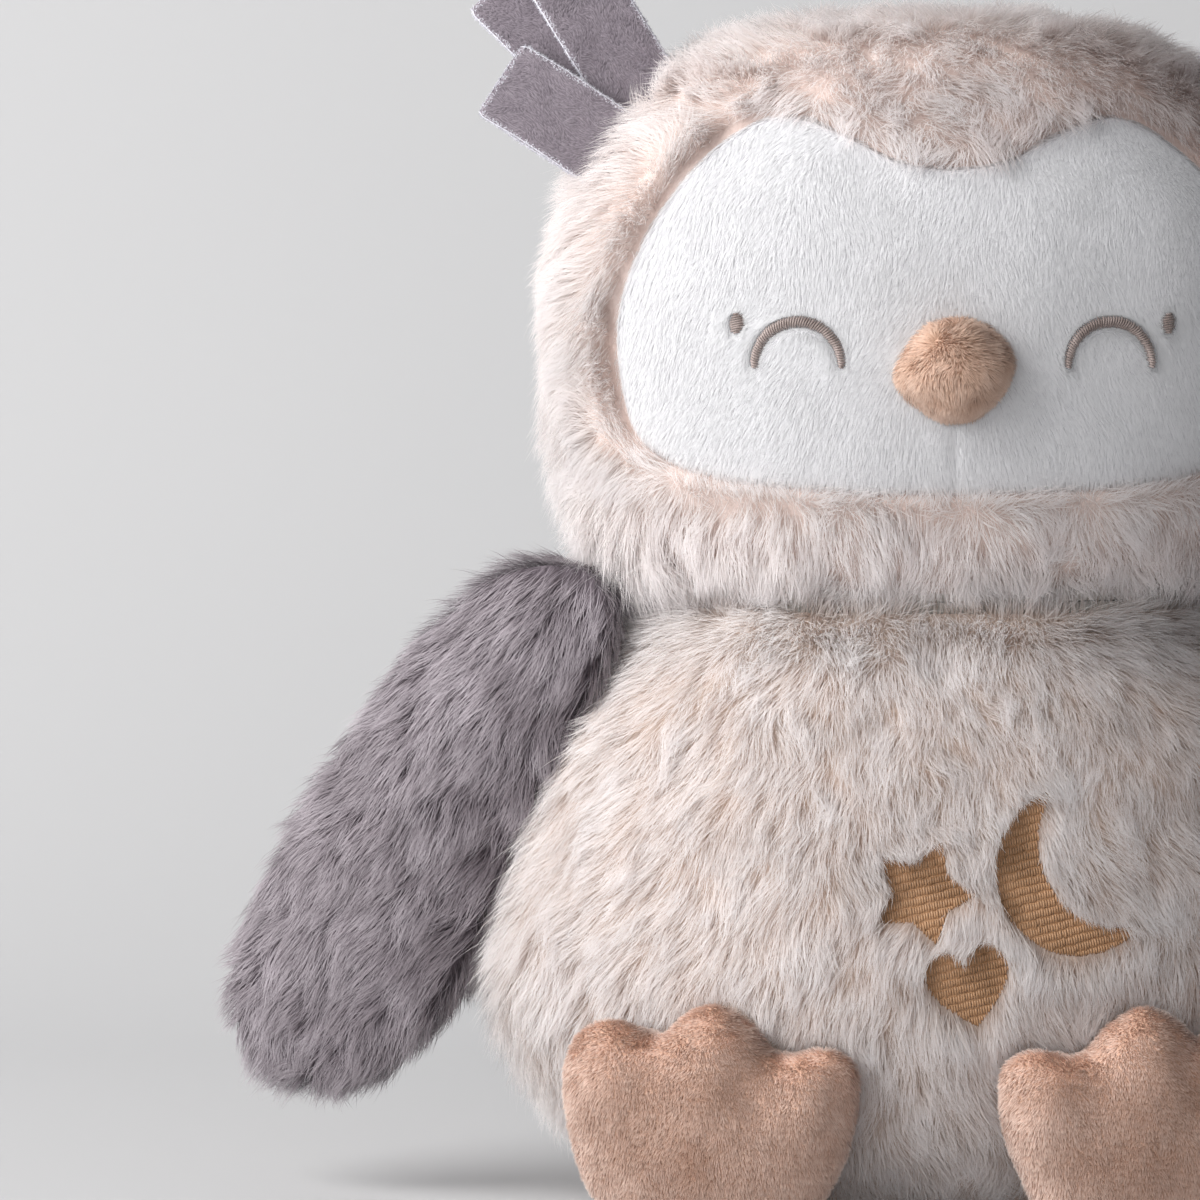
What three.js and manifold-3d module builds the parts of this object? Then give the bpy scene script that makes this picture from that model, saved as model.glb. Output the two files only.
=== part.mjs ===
// A seated plush owl, in millimetres: +Z is up, the owl faces -Y and the floor is z = 0.
// Left and right are as seen from the front, so left is the -X side.
// Long-pile covers are drawn at the middle of their pile, short-pile ones at their surface.

import Module from 'manifold-3d';
import * as THREE from 'three';
import { mergeVertices } from 'three/addons/utils/BufferGeometryUtils.js';

const wasm = await Module();
wasm.setup();

// Fits shared by all pieces
const SEAM_GAP = 0.35; // between two pieces that are sewn or lie together
const OVERRUN = 6; // how far a cutting form runs past what it cuts

// Body: height from the floor to the neck seam, width, and depth in front of and behind the axis
const BODY_HEIGHT = 134;
const BODY_WIDTH = 192;
const BODY_FRONT_DEPTH = 80;
const BODY_BACK_DEPTH = 74;
const BODY_PLUSH = 8; // backing and half the pile
const BODY_SQUARENESS = 2.15; // exponent of the rounded section, where 2 is an ellipse
const BASE_PANEL_THICKNESS = 2.5;
const PELLET_BAG_WIDTH = 84;
const PELLET_BAG_DEPTH = 70;
const PELLET_BAG_HEIGHT = 24;

// Head: height from the neck seam to the crown
const HEAD_HEIGHT = 128;
const HEAD_WIDTH = 172;
const HEAD_FRONT_DEPTH = 70;
const HEAD_BACK_DEPTH = 68;
const HEAD_SQUARENESS = 2.3;
const HOOD_PLUSH = 8;
const HEAD_TURN = 4.5; // degrees, towards the right

// Face: a short-pile panel in two halves, sunk below the middle of the hood's pile
const FACE_WIDTH = 146.5;
const FACE_HEIGHT = 83;
const FACE_BOTTOM = 23; // above the neck seam
const FACE_SINK = 4;

// Beak
const BEAK_WIDTH = 25;
const BEAK_HEIGHT = 21;
const BEAK_LENGTH = 34; // of the whole pad, most of it behind the face's surface
const BEAK_RISE = 49.2; // of its centre, above the neck seam
const BEAK_TURN = 10; // degrees, of its lower tip towards the right
const BEAK_SPREAD = 4; // how far behind the face's surface the pad is at its widest

// Eyes: an arched satin-stitch band each, with a small dot at its outer side
const EYE_RISE = 50; // of the arch's centre, above the neck seam
const EYE_SPACING = 67.7;
const EYE_RADIUS = 9.4;
const EYE_BAND = 2.6;
const EYE_END_BAND = 1.5;
const EYE_ARCH_DEGREES = 184;
const EYE_DOT_SPACING = 94;
const EYE_DOT_RISE = 59;
const EYE_DOT_WIDTH = 3.2;
const EYE_DOT_HEIGHT = 4.4;
const EYE_THREAD = 0.9; // height of the stitches above the face

// Belly embroidery, stitched down into the pile
const PATCH_SINK = 3;
const PATCH_THREAD = 1.4;
const STAR_RADIUS = 11.4;
const STAR_NOTCH_RADIUS = 6.6;
const STAR_SIDE = -1.4;
const STAR_RISE = 75;
const STAR_TURN = -2; // degrees
const CRESCENT_RADIUS = 17.7;
const CRESCENT_BITE_RADIUS = 17.9;
const CRESCENT_BITE_SHIFT = 11;
const CRESCENT_TURN = 32; // degrees, of the way to the bite's centre
const CRESCENT_SIDE = 31.2;
const CRESCENT_RISE = 79.5;
const HEART_WIDTH = 17.6;
const HEART_HEIGHT = 17;
const HEART_SIDE = 8.3;
const HEART_RISE = 55.5;
const HEART_TURN = 12; // degrees

// Wings: padded paddles that hang from the shoulders
const WING_LENGTH = 140;
const WING_WIDTH = 54;
const WING_THICKNESS = 25;
const WING_PLUSH = 4;
const WING_LEAN = 28; // degrees, of the paddle from the vertical
const WING_YAW = 28; // degrees, of the inner edge towards the belly
const WING_PIVOT_RISE = 128;
const WING_PIVOT_FORWARD = 24;
const WING_PIVOT_OUT = 17; // out of the body's surface
const WING_PIVOT_DROP = 16; // below the paddle's top end
const WING_PIVOT_INSET = 16; // from the paddle's inner edge
const WING_LIFT = 35; // degrees, of the joint's range
const WING_SEAM = 14; // height of the opening at the shoulder
const WING_SEAM_DROP = 4; // of the opening's middle, below the joint
const WING_THROAT = 6; // width of the opening

// Feet: padded three-toed pads that stand against the belly
const FOOT_WIDTH = 63;
const FOOT_HEIGHT = 48.5;
const FOOT_THICKNESS = 25;
const FOOT_PLUSH = 2;
const FOOT_SPACING = 87.2;
const FOOT_FLOOR_GAP = 3;
const FOOT_YAW = 12; // degrees, of the sole towards the side
const FOOT_PRESS = 3; // how far the pad's back would reach into the belly
const FOOT_PIVOT_RISE = 12;
const FOOT_TILT = 15; // degrees, of the joint's range
const FOOT_SEAM = 30; // width of the opening at the heel
const FOOT_THROAT = 10; // height of the opening

// Ear tufts: three strips of two-ply plush each, fanned in depth order from the front
const EAR_RISE = 101; // above the neck seam
const EAR_FORWARD = 6.5; // of the middle strip, in front of the head's axis
const EAR_LEAN = 45; // degrees, of the middle strip from the vertical
const EAR_STRIP_WIDTH = 19;
const EAR_STRIP_THICKNESS = 3;
const EAR_STRIP_PITCH = 3.6; // from one strip to the next behind it
const EAR_ROOT = 9; // length that runs into the seam
const EAR_BEND_RADIUS = 130;
const EAR_SWING = 12; // degrees each way, of the joint's range
const EAR_FRONT_LENGTH = 34.5;
const EAR_MIDDLE_LENGTH = 47;
const EAR_REAR_LENGTH = 50;
const EAR_STRIPS = [
  { name: 'front', length: EAR_FRONT_LENGTH, fan: -12, offsetShare: -0.24 },
  { name: 'middle', length: EAR_MIDDLE_LENGTH, fan: 14, offsetShare: 0.48 },
  { name: 'rear', length: EAR_REAR_LENGTH, fan: 0, offsetShare: 0.28 },
];

// Profiles and outlines, as shares of the sizes above
const BODY_PROFILE_SHARES = [
  [0, 0.6], [0.09, 0.78], [0.2, 0.915], [0.38, 1], [0.6, 0.955], [0.8, 0.86], [0.93, 0.74], [1, 0.67],
];
const HEAD_PROFILE_SHARES = [
  [0, 0.76], [0.09, 0.89], [0.25, 0.97], [0.5, 1], [0.66, 0.945], [0.8, 0.8], [0.91, 0.63], [0.97, 0.42],
  [1, 0],
];
const FACE_HALF_SHARES = [
  [0, 0.85], [0.16, 0.875], [0.33, 0.95], [0.52, 0.995], [0.72, 0.9], [0.88, 0.72],
  [0.99, 0.5], [0.995, 0.32], [0.93, 0.136], [0.72, 0.04], [0.36, 0.008], [0, 0],
];
const BEAK_SHARES = [
  [0, -0.5], [0.25, -0.4], [0.45, -0.14], [0.49, 0.08], [0.34, 0.34], [0.14, 0.49],
  [-0.14, 0.49], [-0.34, 0.34], [-0.49, 0.08], [-0.45, -0.14], [-0.25, -0.4],
];
const HEART_HALF_SHARES = [
  [0, 0.28], [0.1, 0.43], [0.27, 0.5], [0.44, 0.4], [0.5, 0.2], [0.42, -0.06], [0.22, -0.3], [0, -0.5],
];
// Along the wing from its top end, and across it from its inner edge
const WING_SHARES = [
  [0, 0.3], [0.06, 0.55], [0.17, 0.71], [0.33, 0.85], [0.5, 0.92], [0.66, 0.98], [0.8, 1], [0.92, 0.92],
  [0.99, 0.7], [0.985, 0.48], [0.92, 0.24], [0.8, 0.07], [0.64, 0], [0.46, 0], [0.28, 0], [0.12, 0.02],
  [0.02, 0.1],
];
// Across the foot towards its outer side, and up it from the heel
const FOOT_SHARES = [
  [0, 0], [0.22, 0.02], [0.34, 0.09], [0.42, 0.22], [0.475, 0.44], [0.495, 0.66], [0.45, 0.84], [0.33, 0.915],
  [0.17, 0.85], [0.08, 0.945], [-0.02, 0.99], [-0.13, 0.92], [-0.23, 0.79], [-0.4, 0.81], [-0.49, 0.72],
  [-0.475, 0.46], [-0.41, 0.24], [-0.32, 0.08], [-0.2, 0.01],
];

// Counts of rings and sides, which set how fine the facets are
const FORM_SIDES = 36;
const INSIDE_SIDES = 24;
const INSIDE_RINGS = 8;
const PILLOW_RINGS = 4;
const PILLOW_FULLNESS = 0.8; // exponent of the padding's rise from the seam

const HEAD_BOTTOM = BODY_HEIGHT + SEAM_GAP;

function profileCurve(shares, height, width) {
  const points = shares.map(([rise, size]) => new THREE.Vector2(rise * height, (size * width) / 2));
  return new THREE.SplineCurve(points);
}

const BODY_FORM = {
  height: BODY_HEIGHT,
  width: BODY_WIDTH,
  front: BODY_FRONT_DEPTH,
  back: BODY_BACK_DEPTH,
  squareness: BODY_SQUARENESS,
  profile: profileCurve(BODY_PROFILE_SHARES, BODY_HEIGHT, BODY_WIDTH),
  rings: 12,
};
const HEAD_FORM = {
  height: HEAD_HEIGHT,
  width: HEAD_WIDTH,
  front: HEAD_FRONT_DEPTH,
  back: HEAD_BACK_DEPTH,
  squareness: HEAD_SQUARENESS,
  profile: profileCurve(HEAD_PROFILE_SHARES, HEAD_HEIGHT, HEAD_WIDTH),
  rings: 13,
};

// Cloth, thread and filling
const cloth = (color, roughness) => new THREE.MeshStandardMaterial({ color, roughness, metalness: 0 });
const MATERIALS = {
  hood: () => cloth('#e3d3cd', 0.95),
  body: () => cloth('#e9e0d9', 0.95),
  face: () => cloth('#f4f3f4', 0.92),
  wing: () => cloth('#968c97', 0.95),
  ear: () => cloth('#8b8390', 0.93),
  short: () => cloth('#d2a88c', 0.93),
  thread: () => cloth('#a67c55', 0.6),
  eye: () => cloth('#8c7a78', 0.55),
  filling: () => cloth('#f2f0ea', 0.98),
  lining: () => cloth('#d9d2c8', 0.9),
};

// Solids and their joins and cuts
function solidOf(geometry) {
  const bare = geometry.clone();
  bare.deleteAttribute('normal');
  bare.deleteAttribute('uv');
  const merged = mergeVertices(bare);
  const vertProperties = new Float32Array(merged.attributes.position.array);
  const triVerts = new Uint32Array(merged.index.array);
  return new wasm.Manifold(new wasm.Mesh({ numProp: 3, vertProperties, triVerts }));
}

function geometryOf(solid) {
  const mesh = solid.getMesh();
  const geometry = new THREE.BufferGeometry();
  geometry.setAttribute('position', new THREE.BufferAttribute(new Float32Array(mesh.vertProperties), 3));
  geometry.setIndex(new THREE.BufferAttribute(new Uint32Array(mesh.triVerts), 1));
  geometry.computeVertexNormals();
  return geometry;
}

function cut(geometry, ...cutters) {
  return geometryOf(cutters.reduce((rest, cutter) => rest.subtract(solidOf(cutter)), solidOf(geometry)));
}

function common(geometry, other) {
  return geometryOf(solidOf(geometry).intersect(solidOf(other)));
}

// A closed skin over rings of points, each ring anticlockwise about the way from the first to the last
function loft(rings, firstCentre, lastCentre) {
  const sides = rings[0].length;
  const points = [...rings.flat(), firstCentre, lastCentre];
  const first = points.length - 2;
  const last = points.length - 1;
  const top = (rings.length - 1) * sides;
  const index = [];
  for (let side = 0; side < sides; side += 1) {
    const next = (side + 1) % sides;
    index.push(first, next, side);
    index.push(last, top + side, top + next);
    for (let start = 0; start < top; start += sides) {
      index.push(start + side, start + next, start + sides + next);
      index.push(start + side, start + sides + next, start + sides + side);
    }
  }
  const geometry = new THREE.BufferGeometry().setFromPoints(points);
  geometry.setIndex(index);
  return geometry;
}

// Round forms: rounded sections stacked up a profile
function signedPower(value, squareness) {
  return Math.sign(value) * Math.abs(value) ** (2 / squareness);
}

function station(form, share, inset) {
  const point = form.profile.getPointAt(share);
  const along = form.profile.getTangentAt(share);
  const size = (2 * point.y) / form.width;
  return {
    z: point.x + inset * along.y,
    half: point.y - inset * along.x,
    front: form.front * size - inset * along.x,
    back: form.back * size - inset * along.x,
  };
}

function sectionRing(form, section, z, sides) {
  const ring = [];
  for (let side = 0; side < sides; side += 1) {
    const angle = (2 * Math.PI * side) / sides;
    const depth = side * 2 > sides ? section.front : section.back;
    const x = section.half * signedPower(Math.cos(angle), form.squareness);
    const y = depth * signedPower(Math.sin(angle), form.squareness);
    ring.push(new THREE.Vector3(x, y, z));
  }
  return ring;
}

function stationsOf(form, inset, rings) {
  return Array.from({ length: rings + 1 }, (_, ring) => station(form, ring / rings, inset));
}

// The section at a height between two stations, or the end one past them
function sectionAt(stations, z) {
  const above = stations.findIndex((section) => section.z >= z);
  if (above === 0) return stations[0];
  if (above < 0) return stations[stations.length - 1];
  const [low, high] = [stations[above - 1], stations[above]];
  const share = (z - low.z) / (high.z - low.z);
  const between = (size) => low[size] + share * (high[size] - low[size]);
  return { half: between('half'), front: between('front'), back: between('back') };
}

// The form, moved in by inset, between the heights from and to
function roundForm(form, inset, from, to, count = form.rings, sides = FORM_SIDES) {
  const stations = stationsOf(form, inset, count);
  const end = stations[count];
  const domed = end.half < SEAM_GAP && end.z < to;
  const inside = stations.slice(0, domed ? -1 : undefined).filter(({ z }) => z > from && z < to);
  const rings = [sectionRing(form, sectionAt(stations, from), from, sides)];
  rings.push(...inside.map((section) => sectionRing(form, section, section.z, sides)));
  if (!domed) rings.push(sectionRing(form, sectionAt(stations, to), to, sides));
  return loft(rings, new THREE.Vector3(0, 0, from), new THREE.Vector3(0, 0, domed ? end.z : to));
}

// The room inside a cover, or what fills it, with fewer facets than the outside
function insideForm(form, inset, from, to) {
  return roundForm(form, inset, from, to, INSIDE_RINGS, INSIDE_SIDES);
}

function superRoot(share, squareness) {
  return (1 - Math.min(1, Math.abs(share)) ** squareness) ** (1 / squareness);
}

// The form's surface beside its axis and in front of it
function surfaceSide(form, z, forward) {
  const section = sectionAt(stationsOf(form, 0, form.rings), z);
  return section.half * superRoot(forward / section.front, form.squareness);
}

function surfaceFront(form, z, side) {
  const section = sectionAt(stationsOf(form, 0, form.rings), z);
  return section.front * superRoot(side / section.half, form.squareness);
}

// Outlines in the upright plane: x to the right and y up
function closedOutline(shares, width, height, count) {
  const points = shares.map(([across, up]) => new THREE.Vector3(across * width, up * height, 0));
  const curve = new THREE.CatmullRomCurve3(points, true, 'centripetal');
  return curve.getSpacedPoints(count).slice(0, count).map((point) => new THREE.Vector2(point.x, point.y));
}

// An outline drawn as its right half from top to bottom, with its mirror image
function mirroredOutline(halfShares, halfWidth, height, count) {
  const points = halfShares.map(([across, up]) => new THREE.Vector2(across * halfWidth, up * height));
  const right = new THREE.SplineCurve(points).getSpacedPoints(count);
  const left = right.slice(1, -1).map((point) => new THREE.Vector2(-point.x, point.y));
  return [...left, ...right.reverse()];
}

function anticlockwise(outline) {
  return THREE.ShapeUtils.area(outline) > 0 ? outline : [...outline].reverse();
}

function insetOutline(outline, inset) {
  return outline.map((point, index) => {
    const before = outline[(index + outline.length - 1) % outline.length];
    const after = outline[(index + 1) % outline.length];
    const along = after.clone().sub(before).normalize();
    return new THREE.Vector2(point.x - inset * along.y, point.y + inset * along.x);
  });
}

// A block of the outline that runs from the middle plane to the front
function prism(outline, depth) {
  const geometry = new THREE.ExtrudeGeometry(new THREE.Shape(outline), { depth, bevelEnabled: false });
  return geometry.rotateX(Math.PI / 2);
}

// A padded form: two panels sewn round an outline and filled
function pillow(outline, thickness, inset) {
  const edge = insetOutline(anticlockwise(outline), inset);
  const centre = edge.reduce((sum, point) => sum.add(point), new THREE.Vector2()).divideScalar(edge.length);
  const half = thickness / 2 - inset;
  const rings = [];
  for (let ring = 1; ring < 2 * PILLOW_RINGS; ring += 1) {
    const angle = (Math.PI * ring) / (2 * PILLOW_RINGS);
    const spread = Math.sin(angle) ** PILLOW_FULLNESS;
    const depth = half * Math.cos(angle);
    rings.push(edge.map((point) => {
      const place = point.clone().sub(centre).multiplyScalar(spread).add(centre);
      return new THREE.Vector3(place.x, depth, place.y);
    }));
  }
  const [back, front] = [half, -half].map((y) => new THREE.Vector3(centre.x, y, centre.y));
  return loft(rings, back, front);
}

function mirrored(geometry) {
  const copy = geometry.clone().scale(-1, 1, 1);
  const index = copy.index.array;
  for (let start = 0; start < index.length; start += 3) {
    [index[start], index[start + 1]] = [index[start + 1], index[start]];
  }
  copy.computeVertexNormals();
  return copy;
}

// Body: a cover open at the neck and the base, the base panel, the filling and a bag of pellets
function basePanel() {
  const opening = station(BODY_FORM, 0, BODY_PLUSH + SEAM_GAP);
  const rings = [0, BASE_PANEL_THICKNESS].map((z) => sectionRing(BODY_FORM, opening, z, INSIDE_SIDES));
  return loft(rings, new THREE.Vector3(), new THREE.Vector3(0, 0, BASE_PANEL_THICKNESS));
}

function pelletBag(extra) {
  const outline = new THREE.Path();
  const height = PELLET_BAG_HEIGHT + 2 * extra;
  const width = PELLET_BAG_WIDTH + 2 * extra;
  outline.absellipse(0, height / 2, width / 2, height / 2, -Math.PI / 2, Math.PI / 2, false, 0);
  const geometry = new THREE.LatheGeometry(outline.getPoints(5), INSIDE_SIDES).rotateX(Math.PI / 2);
  return geometry.scale(1, PELLET_BAG_DEPTH / PELLET_BAG_WIDTH, 1);
}

function bodyFilling() {
  const bottom = BASE_PANEL_THICKNESS + SEAM_GAP;
  const filling = insideForm(BODY_FORM, BODY_PLUSH + SEAM_GAP, bottom, BODY_HEIGHT);
  const room = pelletBag(SEAM_GAP).translate(0, 0, bottom - SEAM_GAP);
  return cut(filling, room);
}

// Belly embroidery
function starOutline() {
  const corners = [];
  for (let corner = 0; corner < 10; corner += 1) {
    const angle = THREE.MathUtils.degToRad(STAR_TURN + 36 * corner);
    const radius = corner % 2 ? STAR_NOTCH_RADIUS : STAR_RADIUS;
    corners.push(new THREE.Vector2(radius * Math.cos(angle), radius * Math.sin(angle)));
  }
  return corners;
}

function crescentOutline() {
  const shift = CRESCENT_BITE_SHIFT;
  const reach = (shift ** 2 + CRESCENT_RADIUS ** 2 - CRESCENT_BITE_RADIUS ** 2) / (2 * shift);
  const rise = Math.sqrt(CRESCENT_RADIUS ** 2 - reach ** 2);
  const start = Math.atan2(rise, reach);
  const bite = Math.atan2(rise, reach - shift);
  const shape = new THREE.Path();
  shape.absarc(0, 0, CRESCENT_RADIUS, start, 2 * Math.PI - start, false);
  shape.absarc(shift, 0, CRESCENT_BITE_RADIUS, 2 * Math.PI - bite, bite, true);
  const turn = THREE.MathUtils.degToRad(CRESCENT_TURN);
  const points = shape.getPoints(14).map((point) => point.rotateAround(new THREE.Vector2(), turn));
  return points.filter((point, index) => index === 0 || point.distanceTo(points[index - 1]) > SEAM_GAP);
}

function heartOutline() {
  const turn = THREE.MathUtils.degToRad(HEART_TURN);
  const outline = mirroredOutline(HEART_HALF_SHARES, HEART_WIDTH, HEART_HEIGHT, 10);
  return outline.map((point) => point.rotateAround(new THREE.Vector2(), turn));
}

const PATCHES = [
  { name: 'belly_star', outline: starOutline(), side: STAR_SIDE, rise: STAR_RISE },
  { name: 'belly_crescent', outline: crescentOutline(), side: CRESCENT_SIDE, rise: CRESCENT_RISE },
  { name: 'belly_heart', outline: heartOutline(), side: HEART_SIDE, rise: HEART_RISE },
];

// A layer of the host form, from sink below its surface down to sink plus thickness, inside the outline
function layer(host, outline, sink, thickness) {
  const block = prism(outline, host.front + OVERRUN);
  const from = -OVERRUN;
  const to = host.height + OVERRUN;
  return cut(common(block, roundForm(host, sink, from, to)), roundForm(host, sink + thickness, from, to));
}

function placed(outline, side, rise) {
  return anticlockwise(outline).map((point) => new THREE.Vector2(point.x + side, point.y + rise));
}

function bellyPatch({ outline, side, rise }) {
  return layer(BODY_FORM, placed(outline, side, rise), PATCH_SINK, PATCH_THREAD);
}

function bellyPocket({ outline, side, rise }) {
  const opening = insetOutline(placed(outline, side, rise), -SEAM_GAP);
  return layer(BODY_FORM, opening, -OVERRUN, OVERRUN + PATCH_SINK + PATCH_THREAD + SEAM_GAP);
}

function bodyCover() {
  const outside = roundForm(BODY_FORM, 0, 0, BODY_HEIGHT);
  const inside = insideForm(BODY_FORM, BODY_PLUSH, -OVERRUN, BODY_HEIGHT + OVERRUN);
  return cut(outside, inside, ...PATCHES.map(bellyPocket));
}

// Head, in its own frame with the neck seam at z = 0
function faceOutline() {
  const outline = anticlockwise(mirroredOutline(FACE_HALF_SHARES, FACE_WIDTH / 2, FACE_HEIGHT, 26));
  return outline.map((point) => new THREE.Vector2(point.x, point.y + FACE_BOTTOM));
}

function headInside() {
  return insideForm(HEAD_FORM, HOOD_PLUSH, -OVERRUN, HEAD_HEIGHT);
}

function hood() {
  const outside = roundForm(HEAD_FORM, 0, 0, HEAD_HEIGHT + OVERRUN);
  const opening = prism(insetOutline(faceOutline(), -SEAM_GAP), HEAD_FRONT_DEPTH + OVERRUN);
  return cut(outside, headInside(), opening);
}

function headFilling() {
  return insideForm(HEAD_FORM, HOOD_PLUSH + SEAM_GAP, 0, HEAD_HEIGHT);
}

function facePanel(direction) {
  const block = prism(faceOutline(), HEAD_FRONT_DEPTH + OVERRUN);
  const both = cut(common(block, faceSurface(0)), headInside());
  const half = new THREE.BoxGeometry(HEAD_WIDTH, 2 * HEAD_WIDTH, 2 * HEAD_WIDTH);
  return common(both, half.translate((direction * (HEAD_WIDTH + SEAM_GAP)) / 2, 0, 0));
}

// The face's surface, grown by a gap: what lies on the face is cut by it
function faceSurface(gap) {
  return roundForm(HEAD_FORM, FACE_SINK - gap, -OVERRUN, HEAD_HEIGHT + OVERRUN);
}

function beak() {
  const turn = THREE.MathUtils.degToRad(BEAK_TURN);
  const upright = closedOutline(BEAK_SHARES, BEAK_WIDTH, BEAK_HEIGHT, 20);
  const outline = upright.map((point) => point.rotateAround(new THREE.Vector2(), turn));
  const front = surfaceFront(HEAD_FORM, BEAK_RISE, 0) - FACE_SINK;
  const pad = pillow(outline, BEAK_LENGTH, 0).translate(0, BEAK_SPREAD - front, BEAK_RISE);
  return cut(pad, faceSurface(SEAM_GAP));
}

function eyeOutline() {
  const outer = [];
  const inner = [];
  const steps = 12;
  for (let step = 0; step <= steps; step += 1) {
    const share = (2 * step) / steps - 1;
    const angle = Math.PI / 2 - THREE.MathUtils.degToRad((share * EYE_ARCH_DEGREES) / 2);
    const half = (EYE_END_BAND + (EYE_BAND - EYE_END_BAND) * Math.sqrt(1 - share ** 2)) / 2;
    const way = new THREE.Vector2(Math.cos(angle), Math.sin(angle));
    outer.push(way.clone().multiplyScalar(EYE_RADIUS + half));
    inner.push(way.clone().multiplyScalar(EYE_RADIUS - half));
  }
  return [...outer, ...inner.reverse()];
}

function dotOutline() {
  const path = new THREE.Path();
  path.absellipse(0, 0, EYE_DOT_WIDTH / 2, EYE_DOT_HEIGHT / 2, 0, 2 * Math.PI, false, 0);
  return path.getPoints(10).slice(0, -1);
}

function faceThread(outline, side, rise) {
  return layer(HEAD_FORM, placed(outline, side, rise), FACE_SINK - SEAM_GAP - EYE_THREAD, EYE_THREAD);
}

// Limbs turn about their joint, so each is cut clear of what it passes at every step of its range
function clearOf(geometry, frameMatrix, neighbours, turns, about) {
  const toFrame = frameMatrix.clone().invert();
  const cutters = [];
  for (const degrees of turns) {
    const turn = new THREE.Matrix4()[about](-THREE.MathUtils.degToRad(degrees));
    const toLimb = turn.multiply(toFrame);
    cutters.push(...neighbours.map((neighbour) => neighbour.clone().applyMatrix4(toLimb)));
  }
  return cut(geometry, ...cutters);
}

function steps(from, to, count) {
  return Array.from({ length: count + 1 }, (_, step) => from + ((to - from) * step) / count);
}

function headMatrix() {
  const turn = new THREE.Matrix4().makeRotationZ(THREE.MathUtils.degToRad(HEAD_TURN));
  return new THREE.Matrix4().makeTranslation(0, 0, HEAD_BOTTOM).multiply(turn);
}

const BODY_KEEPOUT = roundForm(BODY_FORM, -SEAM_GAP, -SEAM_GAP, BODY_HEIGHT + SEAM_GAP);
const SCALP_KEEPOUT = roundForm(HEAD_FORM, -SEAM_GAP, -SEAM_GAP, HEAD_HEIGHT + OVERRUN);
const HEAD_KEEPOUT = SCALP_KEEPOUT.clone().applyMatrix4(headMatrix());
const WING_KEEPOUTS = [BODY_KEEPOUT, HEAD_KEEPOUT, mirrored(HEAD_KEEPOUT)];

function framed(x, y, z, yaw) {
  const turn = new THREE.Matrix4().makeRotationZ(THREE.MathUtils.degToRad(yaw));
  return new THREE.Matrix4().makeTranslation(x, y, z).multiply(turn);
}

// Wing, in a frame at its shoulder joint, with the paddle in the XZ plane and its outer side at -X
const WING_FRAME = framed(
  -surfaceSide(BODY_FORM, WING_PIVOT_RISE, WING_PIVOT_FORWARD) - WING_PIVOT_OUT,
  -WING_PIVOT_FORWARD,
  WING_PIVOT_RISE,
  -WING_YAW,
);

function wingOutline(count) {
  const shares = WING_SHARES.map(([along, across]) => [across, along]);
  const outline = closedOutline(shares, WING_WIDTH, WING_LENGTH, count);
  const lean = THREE.MathUtils.degToRad(WING_LEAN);
  return anticlockwise(outline.map((point) => {
    const hanging = new THREE.Vector2(WING_PIVOT_INSET - point.x, WING_PIVOT_DROP - point.y);
    return hanging.rotateAround(new THREE.Vector2(), -lean);
  }));
}

function wingPillow(inset, count) {
  return pillow(wingOutline(count), WING_THICKNESS, inset);
}

function clearWing(geometry) {
  return clearOf(geometry, WING_FRAME, WING_KEEPOUTS, steps(0, WING_LIFT, 5), 'makeRotationY');
}

// The cover is open along its shoulder seam, where the filling goes in
function wingCover() {
  const throat = new THREE.BoxGeometry(WING_PIVOT_INSET + OVERRUN, WING_THROAT, WING_SEAM);
  throat.translate((WING_PIVOT_INSET + OVERRUN) / 2, 0, -WING_SEAM_DROP);
  return cut(clearWing(wingPillow(0, 28)), wingPillow(WING_PLUSH, 18), throat);
}

function wingFilling() {
  return clearWing(wingPillow(WING_PLUSH + SEAM_GAP, 18));
}

// Foot, in a frame at its heel joint, with the sole facing -Y and its outer side at -X
const FOOT_REACH = surfaceFront(BODY_FORM, FOOT_FLOOR_GAP + FOOT_HEIGHT / 2, FOOT_SPACING / 2);
const FOOT_FRAME = framed(-FOOT_SPACING / 2, -FOOT_REACH, FOOT_PIVOT_RISE, -FOOT_YAW);

function footPillow(inset, count) {
  const shares = FOOT_SHARES.map(([across, up]) => [-across, up]);
  const outline = closedOutline(shares, FOOT_WIDTH, FOOT_HEIGHT, count);
  const pad = pillow(outline, FOOT_THICKNESS, inset);
  return pad.translate(0, FOOT_PRESS - FOOT_THICKNESS / 2, FOOT_FLOOR_GAP - FOOT_PIVOT_RISE);
}

function clearFoot(geometry) {
  return clearOf(geometry, FOOT_FRAME, [BODY_KEEPOUT], steps(0, FOOT_TILT, 3), 'makeRotationX');
}

// The cover is open along its heel seam, where the filling goes in
function footCover() {
  const throat = new THREE.BoxGeometry(FOOT_SEAM, FOOT_THICKNESS, FOOT_THROAT);
  throat.translate(0, FOOT_PRESS, FOOT_THROAT / 2);
  return cut(clearFoot(footPillow(0, 38)), footPillow(FOOT_PLUSH, 22), throat);
}

function footFilling() {
  return clearFoot(footPillow(FOOT_PLUSH + SEAM_GAP, 22));
}

// Ear tuft, in a frame on the hood's surface with the seam along X and the middle way out along Z
const EAR_SEAT = surfaceSide(HEAD_FORM, EAR_RISE, EAR_FORWARD);
const EAR_FRAME = new THREE.Matrix4()
  .makeTranslation(-EAR_SEAT, -EAR_FORWARD, EAR_RISE)
  .multiply(new THREE.Matrix4().makeRotationY(-THREE.MathUtils.degToRad(EAR_LEAN)));

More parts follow.
